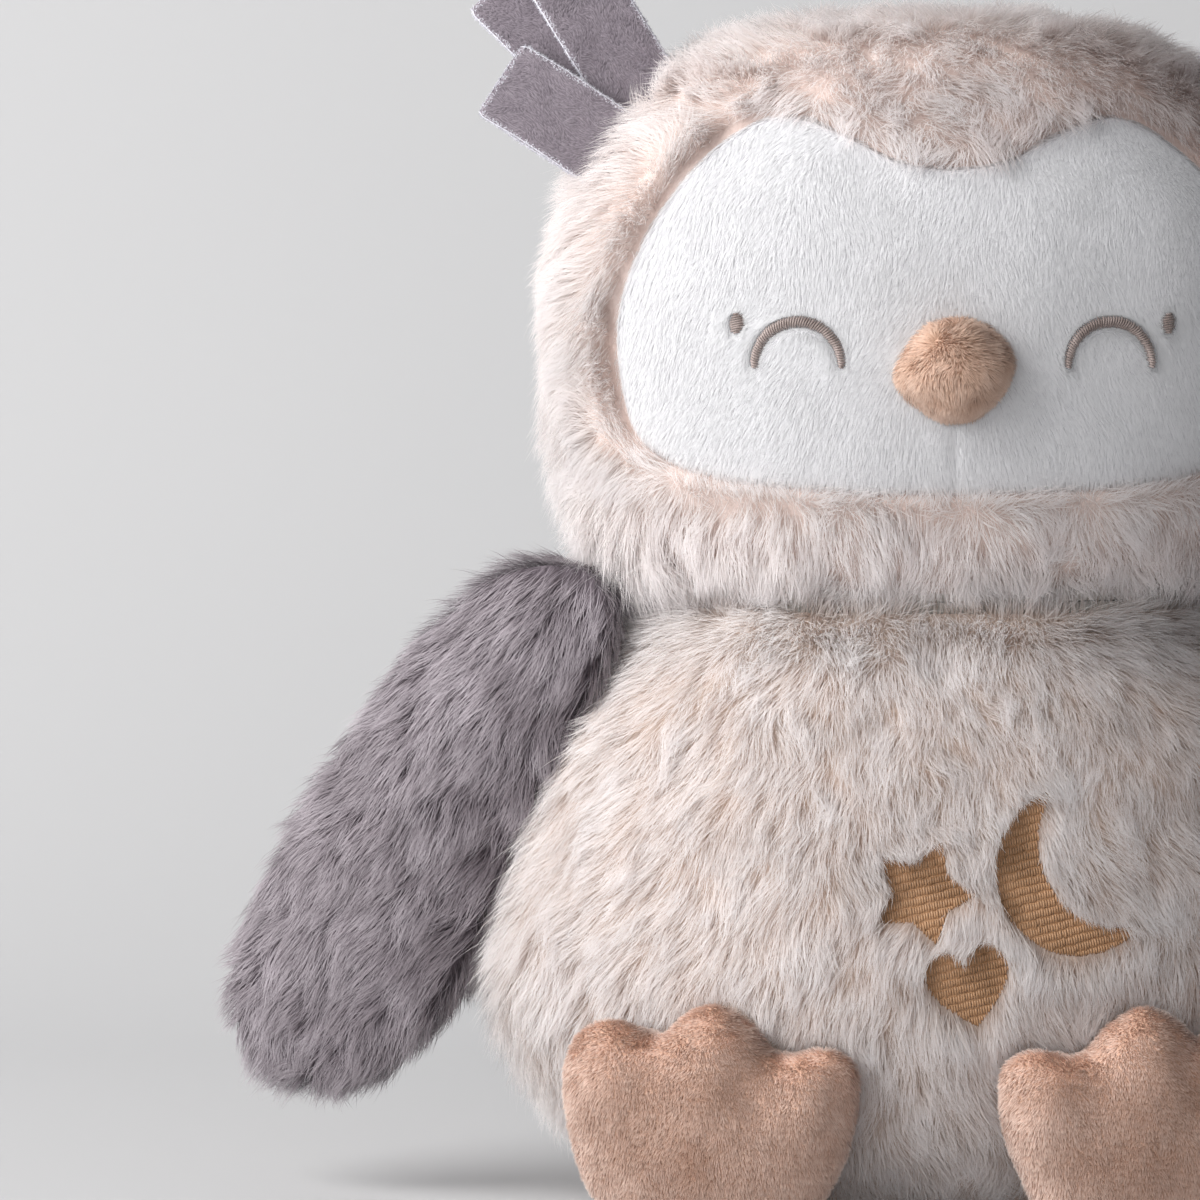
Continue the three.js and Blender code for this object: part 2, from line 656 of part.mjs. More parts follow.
function earStrip({ length, fan, offsetShare }, place) {
  const sweep = length / EAR_BEND_RADIUS;
  const half = EAR_STRIP_THICKNESS / 2;
  const band = new THREE.Shape();
  band.absarc(EAR_BEND_RADIUS, 0, EAR_BEND_RADIUS - half, Math.PI - sweep, Math.PI, false);
  band.absarc(EAR_BEND_RADIUS, 0, EAR_BEND_RADIUS + half, Math.PI, Math.PI - sweep, true);
  const sweepOptions = { depth: EAR_STRIP_WIDTH, bevelEnabled: false, curveSegments: 4 };
  const strip = new THREE.ExtrudeGeometry(band, sweepOptions);
  const upright = new THREE.Matrix4().makeBasis(
    new THREE.Vector3(0, 1, 0),
    new THREE.Vector3(0, 0, 1),
    new THREE.Vector3(1, 0, 0),
  );
  strip.applyMatrix4(upright).translate(-EAR_STRIP_WIDTH / 2, 0, -EAR_ROOT);
  strip.rotateY(THREE.MathUtils.degToRad(fan));
  strip.translate(offsetShare * EAR_STRIP_WIDTH, (place - 1) * EAR_STRIP_PITCH, 0);
  return clearOf(strip, EAR_FRAME, [SCALP_KEEPOUT], steps(-EAR_SWING, EAR_SWING, 4), 'makeRotationX');
}

// The owl
const owl = new THREE.Group();

function add(parent, name, geometry, material) {
  const mesh = new THREE.Mesh(geometry, material());
  mesh.name = name;
  parent.add(mesh);
  return mesh;
}

function frameGroup(parent, matrix) {
  const group = new THREE.Group();
  matrix.decompose(group.position, group.quaternion, group.scale);
  parent.add(group);
  return group;
}

// The same frame on the other side
function otherSide(matrix) {
  const flip = new THREE.Matrix4().makeScale(-1, 1, 1);
  return flip.clone().multiply(matrix).multiply(flip);
}

function addPair(parent, frame, pieces) {
  const left = frameGroup(parent, frame);
  const right = frameGroup(parent, otherSide(frame));
  for (const { limb, piece, geometry, material } of pieces) {
    add(left, `${limb}_left_${piece}`, geometry, material);
    add(right, `${limb}_right_${piece}`, mirrored(geometry), material);
  }
}

add(owl, 'body_cover', bodyCover(), MATERIALS.body);
add(owl, 'base_panel', basePanel(), MATERIALS.body);
add(owl, 'body_filling', bodyFilling(), MATERIALS.filling);
add(owl, 'pellet_bag', pelletBag(0), MATERIALS.lining).position.z = BASE_PANEL_THICKNESS + SEAM_GAP;
for (const patch of PATCHES) add(owl, patch.name, bellyPatch(patch), MATERIALS.thread);

const head = frameGroup(owl, headMatrix());
add(head, 'head_hood', hood(), MATERIALS.hood);
add(head, 'head_filling', headFilling(), MATERIALS.filling);
add(head, 'beak', beak(), MATERIALS.short);
for (const [side, direction] of [['left', -1], ['right', 1]]) {
  add(head, `face_${side}_panel`, facePanel(direction), MATERIALS.face);
  const eye = faceThread(eyeOutline(), (direction * EYE_SPACING) / 2, EYE_RISE);
  add(head, `eye_${side}_arch`, eye, MATERIALS.eye);
  const dot = faceThread(dotOutline(), (direction * EYE_DOT_SPACING) / 2, EYE_DOT_RISE);
  add(head, `eye_${side}_dot`, dot, MATERIALS.eye);
}

addPair(owl, WING_FRAME, [
  { limb: 'wing', piece: 'cover', geometry: wingCover(), material: MATERIALS.wing },
  { limb: 'wing', piece: 'filling', geometry: wingFilling(), material: MATERIALS.filling },
]);
addPair(owl, FOOT_FRAME, [
  { limb: 'foot', piece: 'cover', geometry: footCover(), material: MATERIALS.short },
  { limb: 'foot', piece: 'filling', geometry: footFilling(), material: MATERIALS.filling },
]);
addPair(head, EAR_FRAME, EAR_STRIPS.map((strip, place) => (
  { limb: 'ear', piece: `${strip.name}_strip`, geometry: earStrip(strip, place), material: MATERIALS.ear }
)));

export default owl;
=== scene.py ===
"""A seated plush owl: skins, pile, stitches, ear strips, stage, light and camera.

Shapes are worked out in millimetres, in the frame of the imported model, and become metres in add_mesh.
Left and right are as seen from the front, so left is the -X side."""

import math

import bpy
import numpy as np
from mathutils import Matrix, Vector


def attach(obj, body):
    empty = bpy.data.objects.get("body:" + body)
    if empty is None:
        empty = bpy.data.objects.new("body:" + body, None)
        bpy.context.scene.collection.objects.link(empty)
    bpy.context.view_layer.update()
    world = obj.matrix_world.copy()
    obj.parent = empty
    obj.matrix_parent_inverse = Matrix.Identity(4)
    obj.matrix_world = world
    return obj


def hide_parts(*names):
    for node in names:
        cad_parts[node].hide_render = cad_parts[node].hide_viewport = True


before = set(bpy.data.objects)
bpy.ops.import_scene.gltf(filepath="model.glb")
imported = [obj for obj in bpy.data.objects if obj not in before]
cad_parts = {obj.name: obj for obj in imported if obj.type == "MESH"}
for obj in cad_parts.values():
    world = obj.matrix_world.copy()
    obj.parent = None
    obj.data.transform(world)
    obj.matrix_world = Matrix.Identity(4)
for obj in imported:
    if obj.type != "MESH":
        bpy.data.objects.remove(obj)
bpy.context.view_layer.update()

SCENE = bpy.context.scene
MM = 0.001
UP = np.array([0.0, 0.0, 1.0])
FLIP = np.array([-1, 1, 1])
LESS_UPRIGHT = np.array([1, 1, 0.5])
TONES = (0.03, 0.97)  # the darkest and the lightest strand
BACKING = 3.6  # depth of the long pile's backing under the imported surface

# Forms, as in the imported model
BODY = dict(height=134.0, width=192.0, front=80.0, back=74.0, square=2.15, shares=[
    (0, 0.6), (0.09, 0.78), (0.2, 0.915), (0.38, 1), (0.6, 0.955), (0.8, 0.86), (0.93, 0.74), (1, 0.67)])
HEAD = dict(height=128.0, width=172.0, front=70.0, back=68.0, square=2.3, shares=[
    (0, 0.76), (0.09, 0.89), (0.25, 0.97), (0.5, 1), (0.66, 0.945), (0.8, 0.8), (0.91, 0.63), (0.97, 0.42),
    (1, 0)])
HEAD_BOTTOM, HEAD_TURN = 134.35, 4.5
FACE = dict(width=146.5, height=83.0, bottom=23.0, sink=4.0, half=[
    (0, 0.85), (0.16, 0.875), (0.33, 0.95), (0.52, 0.995), (0.72, 0.9), (0.88, 0.72), (0.99, 0.5),
    (0.995, 0.32), (0.93, 0.136), (0.72, 0.04), (0.36, 0.008), (0, 0)])
BEAK = dict(width=25.0, height=21.0, length=34.0, rise=49.2, turn=10.0, spread=4.0, shares=[
    (0, -0.5), (0.25, -0.4), (0.45, -0.14), (0.49, 0.08), (0.34, 0.34), (0.14, 0.49), (-0.14, 0.49),
    (-0.34, 0.34), (-0.49, 0.08), (-0.45, -0.14), (-0.25, -0.4)])
WING = dict(length=140.0, width=54.0, thickness=25.0, lean=28.0, yaw=28.0, drop=16.0, inset=16.0,
            pivot=(-80.45041, -24.0, 128.0), shares=[
    (0, 0.3), (0.06, 0.55), (0.17, 0.71), (0.33, 0.85), (0.5, 0.92), (0.66, 0.98), (0.8, 1), (0.92, 0.92),
    (0.99, 0.7), (0.985, 0.48), (0.92, 0.24), (0.8, 0.07), (0.64, 0), (0.46, 0), (0.28, 0), (0.12, 0.02),
    (0.02, 0.1)])
FOOT = dict(width=63.0, height=48.5, thickness=25.0, yaw=12.0, press=3.0, gap=3.0,
            pivot=(-43.6, -65.234132, 12.0), shares=[
    (0, 0), (0.22, 0.02), (0.34, 0.09), (0.42, 0.22), (0.475, 0.44), (0.495, 0.66), (0.45, 0.84),
    (0.33, 0.915), (0.17, 0.85), (0.08, 0.945), (-0.02, 0.99), (-0.13, 0.92), (-0.23, 0.79), (-0.4, 0.81),
    (-0.49, 0.72), (-0.475, 0.46), (-0.41, 0.24), (-0.32, 0.08), (-0.2, 0.01)])
EAR = dict(rise=101.0, forward=6.5, lean=45.0, width=19.0, pitch=3.6, root=9.0, trim=1.8, bend=130.0,
           strips=[("front", 34.5, -12.0, -0.24), ("middle", 47.0, 14.0, 0.48), ("rear", 50.0, 0.0, 0.28)])
TUFTS = dict(  # tufts a square millimetre, strands a tuft, its radius and how its strands lean
    body=dict(density=0.385, strands=10, radius=2.3, gather=0.5, loose=0.09),
    hood=dict(density=0.33, strands=11, radius=2.4, gather=0.42, loose=0.1),
    wing=dict(density=0.3, strands=12, radius=2.8, gather=0.62, loose=0.07))
STRAND_WIDTH, WING_STRAND_WIDTH = 0.14, 0.15
FACE_LAYER = FACE["sink"] + 0.6  # depth of the face's backing
EYE = dict(rise=50.0, spacing=67.7, radius=9.4, band=2.6, end=1.5, arch=184.0,
           dot_spacing=94.0, dot_rise=59.0, dot_width=3.2, dot_height=4.4)


# Vectors, curves and noise
def unit(v):
    """Vectors of length 1."""
    return v / np.maximum(np.linalg.norm(v, axis=-1, keepdims=True), 1e-9)


def smooth(x, low, high):
    """From 0 at low to 1 at high, with soft ends."""
    t = np.clip((x - low) / (high - low), 0, 1)
    return t * t * (3 - 2 * t)


def turn_z(degrees):
    """A turn about Z."""
    a = math.radians(degrees)
    return np.array([[math.cos(a), -math.sin(a), 0], [math.sin(a), math.cos(a), 0], [0, 0, 1.0]])


def turn_y(degrees):
    """A turn about Y."""
    a = math.radians(degrees)
    return np.array([[math.cos(a), 0, math.sin(a)], [0, 1.0, 0], [-math.sin(a), 0, math.cos(a)]])


def turned(points, degrees):
    """Points of a plane turned anticlockwise."""
    a = math.radians(degrees)
    return points @ np.array([[math.cos(a), math.sin(a)], [-math.sin(a), math.cos(a)]])


def lattice(cells, seed):
    """A fixed value from 0 to 1 for each whole-numbered cell."""
    x, y, z = np.moveaxis(cells, -1, 0)
    h = x * 374761393 + y * 668265263 + z * 1274126177 + seed * 69069
    h = h & 0xFFFFFFFF
    h = ((h ^ (h >> 13)) * 1274126177) & 0xFFFFFFFF
    h = ((h ^ (h >> 16)) * 668265263) & 0xFFFFFFFF
    return (h ^ (h >> 15)) / 4294967296.0


def noise(points, size, seed):
    """Smooth noise from -1 to 1, with features of about the given size."""
    p = np.asarray(points, float) / size
    base = np.floor(p).astype(np.int64)
    f = p - base
    f = f * f * (3 - 2 * f)
    total = np.zeros(p.shape[:-1])
    for corner in range(8):
        step = np.array([corner & 1, (corner >> 1) & 1, corner >> 2])
        weight = np.prod(np.where(step, f, 1 - f), axis=-1)
        total += weight * lattice(base + step, seed)
    return total * 2 - 1


def swirl(points, size, seed):
    """Smooth noise in each of three directions."""
    return np.stack([noise(points, size, seed + k) for k in range(3)], 1)


def spline(points, closed, count):
    """Points spaced evenly along a smooth curve through the given ones."""
    pts = np.array(points, float)
    n = len(pts)
    spans = n if closed else n - 1
    out = []
    for i in range(spans):
        pick = [(i + k) % n if closed else min(max(i + k, 0), n - 1) for k in (-1, 0, 1, 2)]
        p0, p1, p2, p3 = pts[pick]
        t = np.linspace(0, 1, 40, endpoint=False)[:, None]
        v0, v1 = (p2 - p0) / 2, (p3 - p1) / 2
        out.append((2 * p1 - 2 * p2 + v0 + v1) * t**3 + (-3 * p1 + 3 * p2 - 2 * v0 - v1) * t**2
                   + v0 * t + p1)
    curve = np.concatenate(out + [pts[:1] if closed else pts[-1:]])
    run = np.concatenate([[0], np.cumsum(np.linalg.norm(np.diff(curve, axis=0), axis=1))])
    at = np.linspace(0, run[-1], count, endpoint=not closed)
    return np.stack([np.interp(at, run, curve[:, k]) for k in range(curve.shape[1])], 1)


def anticlockwise(outline):
    """A closed outline in the anticlockwise order."""
    x, y = outline[:, 0], outline[:, 1]
    area = np.sum(x * np.roll(y, -1) - np.roll(x, -1) * y)
    return outline if area > 0 else outline[::-1]


def depth_inside(points, outline):
    """The distance to a closed outline, positive inside it."""
    best = np.full(len(points), 1e9)
    odd = np.zeros(len(points), bool)
    for a, b in zip(outline, np.roll(outline, -1, axis=0)):
        ab, ap = b - a, points - a
        t = np.clip((ap @ ab) / max(ab @ ab, 1e-12), 0, 1)
        best = np.minimum(best, np.linalg.norm(ap - t[:, None] * ab, axis=1))
        crosses = (a[1] > points[:, 1]) != (b[1] > points[:, 1])
        slope = np.where(abs(ab[1]) > 1e-12, ab[0] / (ab[1] if abs(ab[1]) > 1e-12 else 1), 0)
        odd ^= crosses & (points[:, 0] < a[0] + (points[:, 1] - a[1]) * slope)
    return np.where(odd, best, -best)


def outward(points, outline):
    """The way out of a closed outline, as unit vectors of three numbers with no Y."""
    here = depth_inside(points, outline)
    dx = depth_inside(points + np.array([0.4, 0]), outline) - here
    dz = depth_inside(points + np.array([0, 0.4]), outline) - here
    return here, unit(np.stack([-dx, 0 * dx, -dz], 1))


# Round forms: rounded sections stacked up a profile
def prepare(form):
    """The form's profile as a fine curve, with the way it runs."""
    curve = spline([(r * form["height"], s * form["width"] / 2) for r, s in form["shares"]], False, 600)
    along = unit(np.gradient(curve, axis=0))
    form["curve"], form["along"] = curve, along


def section(form, share, inset):
    """Height, half width, front and back of the section at a share of the profile, inset from the skin."""
    at = np.linspace(0, 1, len(form["curve"]))
    z, half = (np.interp(share, at, form["curve"][:, k]) for k in (0, 1))
    az, ah = (np.interp(share, at, form["along"][:, k]) for k in (0, 1))
    size = 2 * half / form["width"]
    return (z + inset * ah, half - inset * az, form["front"] * size - inset * az,
            form["back"] * size - inset * az)


def signed_power(value, square):
    """A sine or cosine of a rounded square. 2 gives a circle."""
    return np.sign(value) * np.abs(value) ** (2 / square)


def round_points(form, share, angle, inset):
    """Points of a round form by their share of the profile and their angle round it."""
    z, half, front, back = section(form, share, inset)
    s = np.sin(angle)
    x = np.maximum(half, 0) * signed_power(np.cos(angle), form["square"])
    y = np.maximum(np.where(s < 0, front, back), 0) * signed_power(s, form["square"])
    return np.stack([x, y, z], -1)


def height_share(form, z, inset):
    """The share of the profile at which the section has the height z."""
    shares = np.linspace(0, 1, 600)
    return np.interp(z, section(form, shares, inset)[0], shares)


def front_y(form, x, z, inset=0.0):
    """The Y of the form's front surface at x and z."""
    _, half, front, _ = section(form, height_share(form, z, inset), inset)
    share = np.minimum(np.abs(x) / np.maximum(half, 1e-6), 1)
    return -front * (1 - share ** form["square"]) ** (1 / form["square"])


def inside_form(form, points, grow):
    """True for points less than grow outside the form."""
    _, half, front, back = section(form, height_share(form, points[:, 2], -grow), -grow)
    half, front, back = (np.maximum(v, 1e-9) for v in (half, front, back))
    depth = np.where(points[:, 1] < 0, front, back)
    far = (np.abs(points[:, 0]) / half) ** form["square"] + (np.abs(points[:, 1]) / depth) ** form["square"]
    return (far < 1) & (points[:, 2] < form["height"] + grow) & (points[:, 2] > -grow)


prepare(BODY)
prepare(HEAD)

HEAD_MATRIX = turn_z(HEAD_TURN)


def to_row(points):
    """From the head's frame to the row's."""
    return points @ HEAD_MATRIX.T + np.array([0, 0, HEAD_BOTTOM])


def to_head(points):
    """From the row's frame to the head's."""
    return (points - np.array([0, 0, HEAD_BOTTOM])) @ HEAD_MATRIX


def face_outline(count=160):
    """The face's outline seen from the front, in the head's frame."""
    right = spline([(a * FACE["width"] / 2, u * FACE["height"] + FACE["bottom"]) for a, u in FACE["half"]],
                   False, count // 2)
    left = right[1:-1][::-1] * np.array([-1, 1])
    return anticlockwise(np.concatenate([right, left]))


FACE_OUTLINE = face_outline()


# Belly figures, in the XZ plane
def star_outline():
    outer, inner, turn, (x, z) = 11.4, 6.6, -2, (-1.4, 75)
    corners = []
    for corner in range(10):
        a = math.radians(turn + 36 * corner)
        r = inner if corner % 2 else outer
        corners.append((r * math.cos(a) + x, r * math.sin(a) + z))
    return np.array(corners)


def crescent_outline():
    shift, r, bite, turn, place = 11.0, 17.7, 17.9, 32, (31.2, 79.5)
    reach = (shift**2 + r**2 - bite**2) / (2 * shift)
    rise = math.sqrt(r**2 - reach**2)
    a, b = math.atan2(rise, reach), math.atan2(rise, reach - shift)
    outer = np.linspace(a, 2 * math.pi - a, 60)
    inner = np.linspace(2 * math.pi - b, b, 50)[1:-1]
    points = np.concatenate([
        np.stack([r * np.cos(outer), r * np.sin(outer)], 1),
        np.stack([shift + bite * np.cos(inner), bite * np.sin(inner)], 1)])
    return anticlockwise(turned(points, turn) + np.array(place))


def heart_outline():
    half = [(0, 0.28), (0.1, 0.43), (0.27, 0.5), (0.44, 0.4), (0.5, 0.2), (0.42, -0.06), (0.22, -0.3),
            (0, -0.5)]
    width, height, turn, place = 17.6, 17, 12, (8.3, 55.5)
    right = spline([(a * width, u * height) for a, u in half], False, 40)
    points = np.concatenate([right, right[1:-1][::-1] * np.array([-1, 1])])
    return anticlockwise(turned(points, turn) + np.array(place))


FIGURES = {"belly_star": star_outline(), "belly_crescent": crescent_outline(),
           "belly_heart": heart_outline()}
FIGURES_MIDDLE, FIGURES_REACH = (22, 72), (48, 42)


def near_figures(points):
    """True in the part of the belly that holds the figures."""
    x, y, z = np.moveaxis(points, -1, 0)
    across, up = (np.abs(v - middle) for v, middle in zip((x, z), FIGURES_MIDDLE))
    return (y < 0) & (across < FIGURES_REACH[0]) & (up < FIGURES_REACH[1])


# Meshes
def add_mesh(name, body, material, points, faces, uv=None, normals=None, second=None):
    """A piece from points in millimetres and one or more arrays of faces.

    second is another material, and which faces have it."""
    if isinstance(faces, np.ndarray):
        faces = [faces]
    mesh = bpy.data.meshes.new(name)
    loops = np.concatenate([f.ravel() for f in faces]).astype(np.int32)
    totals = np.concatenate([np.full(len(f), f.shape[1]) for f in faces])
    starts = np.concatenate([[0], np.cumsum(totals)[:-1]]).astype(np.int32)
    mesh.vertices.add(len(points))
    mesh.vertices.foreach_set("co", (points * MM).astype(np.float32).ravel())
    mesh.loops.add(len(loops))
    mesh.loops.foreach_set("vertex_index", loops)
    mesh.polygons.add(len(starts))
    mesh.polygons.foreach_set("loop_start", starts)
    mesh.polygons.foreach_set("use_smooth", np.ones(len(starts), bool))
    if uv is not None:
        layer = mesh.uv_layers.new(name="OFBake")
        layer.data.foreach_set("uv", uv[loops].astype(np.float32).ravel())
    mesh.update(calc_edges=True)
    if normals is not None:
        mesh.normals_split_custom_set_from_vertices(normals)
    mesh.materials.append(material)
    if second is not None:
        mesh.materials.append(second[0])
        mesh.polygons.foreach_set("material_index", second[1].astype(np.int32))
    piece = bpy.data.objects.new(name, mesh)
    SCENE.collection.objects.link(piece)
    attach(piece, body)
    return piece


def grid_faces(rows, columns, wrap):
    """Quads of a grid of points, whose columns may join up."""
    last = columns if wrap else columns - 1
    r, c = np.meshgrid(np.arange(rows - 1), np.arange(last), indexing="ij")
    a = r * columns + c
    b = r * columns + (c + 1) % columns
    return np.stack([a, b, b + columns, a + columns], -1).reshape(-1, 4)


def loft_faces(grid):
    """Faces of a grid whose columns join up."""
    return grid_faces(*grid.shape[:2], True)


def add_cover(name, body, material, grid, replaced, flip=False, on_head=False):
    """A padded cover from a grid of points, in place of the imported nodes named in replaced."""
    points = grid.reshape(-1, 3)
    faces = loft_faces(grid)
    skin = add_mesh(name, body, material, to_row(points) if on_head else points,
                    faces[:, ::-1] if flip else faces)
    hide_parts(*replaced)


def grid_normals(grid, wrap):
    """Normals of a grid of points. Its rows, then its columns, turn anticlockwise seen from outside."""
    if wrap:
        across = np.roll(grid, -1, axis=1) - np.roll(grid, 1, axis=1)
    else:
        across = np.gradient(grid, axis=1)
    return unit(np.cross(across, np.gradient(grid, axis=0)))


def sample(grid, wrap, density, rng, weight=None):
    """Random places on a grid's surface, density per square millimetre, with their normals."""
    nxt = np.roll(grid, -1, axis=1) if wrap else grid[:, 1:]
    cur = grid if wrap else grid[:, :-1]
    p00, p01, p10, p11 = cur[:-1], nxt[:-1], cur[1:], nxt[1:]
    area = np.linalg.norm(np.cross(p11 - p00, p10 - p01), axis=-1) / 2
    normal = grid_normals(grid, wrap)
    ncur = normal if wrap else normal[:, :-1]
    nnxt = np.roll(normal, -1, axis=1) if wrap else normal[:, 1:]
    want = area * density
    if weight is not None:
        want = want * weight((p00 + p11) / 2)
    count = np.floor(want + rng.random(want.shape)).astype(int)
    i, j = np.repeat(np.argwhere(count > 0), count[count > 0], axis=0).T
    a, b = rng.random((2, len(i), 1))
    mix = lambda q00, q01, q10, q11: (
        (1 - a) * ((1 - b) * q00 + b * q01) + a * ((1 - b) * q10 + b * q11))
    return (mix(p00[i, j], p01[i, j], p10[i, j], p11[i, j]),
            unit(mix(ncur[:-1][i, j], nnxt[:-1][i, j], ncur[1:][i, j], nnxt[1:][i, j])))


# Pile: each strand is a thin bent ribbon that tapers to a point
class Pile:
    """Strands before they become meshes. All arrays have one row for each strand."""

    def __init__(self, root, normal, flow, length, rise, droop, tone):
        self.root, self.normal = root, normal
        self.flow = unit(flow - normal * np.sum(flow * normal, 1)[:, None])
        self.length, self.rise, self.droop, self.tone = length, rise, droop, tone
        self.shade = normal
        self.pull = np.zeros_like(root)
        self.wave = np.zeros(len(root))
        self.phase = np.zeros(len(root))

    def keep(self, chosen):
        for key, value in vars(self).items():
            setattr(self, key, value[chosen])

    def path(self, segments, scale=None):
        """Points along each strand, (segments + 1, strands, 3)."""
        length = self.length if scale is None else self.length * scale
        side = np.cross(self.flow, self.normal)
        at = [self.root]
        for k in range(segments):
            s = (k + 0.5) / segments
            angle = self.rise + (self.droop - self.rise) * s
            step = np.sin(angle)[:, None] * self.normal + np.cos(angle)[:, None] * self.flow
            at.append(at[-1] + step * (length / segments)[:, None])
        for k in range(1, segments + 1):
            s = k / segments
            sway = self.wave * length * (np.sin(2.6 * s + self.phase) - np.sin(self.phase))
            at[k] = at[k] + self.pull * s**1.4 + side * sway[:, None]
        return np.stack(at)


def tufts(centre, normal, flow, rng, kind, length, rise, droop, tone):
    """Pile in tufts: strands round each centre that lean together. length to tone are one value a tuft."""
    kind = TUFTS[kind]
    strands, radius, gather, loose = (kind[key] for key in ("strands", "radius", "gather", "loose"))
    n = len(centre)
    own = lambda x: np.repeat(x, strands, axis=0)
    total = n * strands
    e1 = unit(np.cross(normal, UP + 1e-3))
    e2 = np.cross(normal, e1)
    r = radius * np.sqrt(rng.random(total))[:, None]
    a = rng.random(total)[:, None] * 2 * math.pi
    offset = r * (np.cos(a) * own(e1) + np.sin(a) * own(e2))
    stray = own(e1) * rng.normal(0, loose, (total, 1)) + own(e2) * rng.normal(0, loose, (total, 1))
    pile = Pile(
        own(centre) + offset, own(normal), own(unit(flow)) + stray,
        own(length) * (1 + rng.normal(0, 0.12, total)), own(rise) + rng.normal(0, 0.12, total),
        own(droop) + rng.normal(0, 0.16, total), np.clip(own(tone) + rng.normal(0, 0.06, total), *TONES))
    pile.pull = -gather * offset
    pile.wave = own(rng.normal(0, 0.035, n)) + rng.normal(0, 0.015, total)
    pile.phase = own(rng.random(n) * 6.3) + rng.normal(0, 0.4, total)
    return pile


def pile_mesh(name, body, material, pile, segments, width, soft=0.92, roll=0.45, seed=1):
    """One piece from a pile. soft is how far its shading follows the skin below."""
    path = pile.path(segments)
    n = path.shape[1]
    taper = np.array([0.85, 1.0, 0.75]) if segments > 1 else np.array([1.0])
    angle = np.random.default_rng(seed).normal(0, roll, n)[:, None]
    width = np.broadcast_to(width, n)
    points, normals, uvs = [], [], []
    for k in range(segments):
        ahead = unit(path[k + 1] - path[max(k - 1, 0)])
        side = unit(np.cross(ahead, pile.normal))
        over = np.cross(side, ahead)
        half = (width * taper[k] / 2)[:, None] * (np.cos(angle) * side + np.sin(angle) * over)
        for across in (-1, 1):
            points.append(path[k] + half * across)
            normals.append(unit(soft * pile.shade + (1 - soft) * over))
            uvs.append(np.stack([pile.tone + 0.012 * across, np.full(n, 0.02 + 0.96 * k / segments)], 1))
    points.append(path[-1])
    normals.append(normals[-1])
    uvs.append(np.stack([pile.tone, np.full(n, 0.98)], 1))
    stride = 2 * segments + 1
    base = np.arange(n)[:, None] * stride
    quads = [base + np.array([2 * k, 2 * k + 1, 2 * k + 3, 2 * k + 2]) for k in range(segments - 1)]
    tips = base + np.array([stride - 3, stride - 2, stride - 1])
    faces = ([np.concatenate(quads)] if quads else []) + [tips]
    stack = lambda parts: np.stack(parts, 1).reshape(n * stride, -1)
    return add_mesh(name, body, material, stack(points), faces, stack(uvs), stack(normals))


def part_of(pile, chosen):
    """A copy of some strands."""
    some = Pile.__new__(Pile)
    for key, value in vars(pile).items():
        setattr(some, key, value[chosen])
    return some


def in_pieces(name, body, material, pile, width, group):
    """A long pile as several pieces. group is the number of each strand's piece."""
    for part in range(group.max() + 1):
        chosen = group == part
        wide = width[chosen] if isinstance(width, np.ndarray) else width
        pile_mesh(f"{name}_{part + 1}", body, material, part_of(pile, chosen), 3, wide)


def thin_behind(points):
    """The share of strands that is kept: all in front, fewer and wider ones behind."""
    return 1 - 0.62 * smooth(points[..., 1], -8, 30)


def in_sectors(name, material, pile, count=10):
    """The pile of the body or the hood as one piece for each sector round the upright axis."""
    angle = (np.arctan2(pile.root[:, 1], pile.root[:, 0]) + math.pi / 2) % (2 * math.pi)
    sector = np.floor(angle / (2 * math.pi) * count).astype(int) % count
    in_pieces(f"{name}_pile", "body", material, pile,
              STRAND_WIDTH / np.sqrt(thin_behind(pile.root)), sector)


# Materials
def srgb(code):
    """A linear colour from a hex code."""
    parts = [int(code[i:i + 2], 16) / 255 for i in (1, 3, 5)]
    return tuple(c / 12.92 if c <= 0.04045 else ((c + 0.055) / 1.055) ** 2.4 for c in parts) + (1.0,)


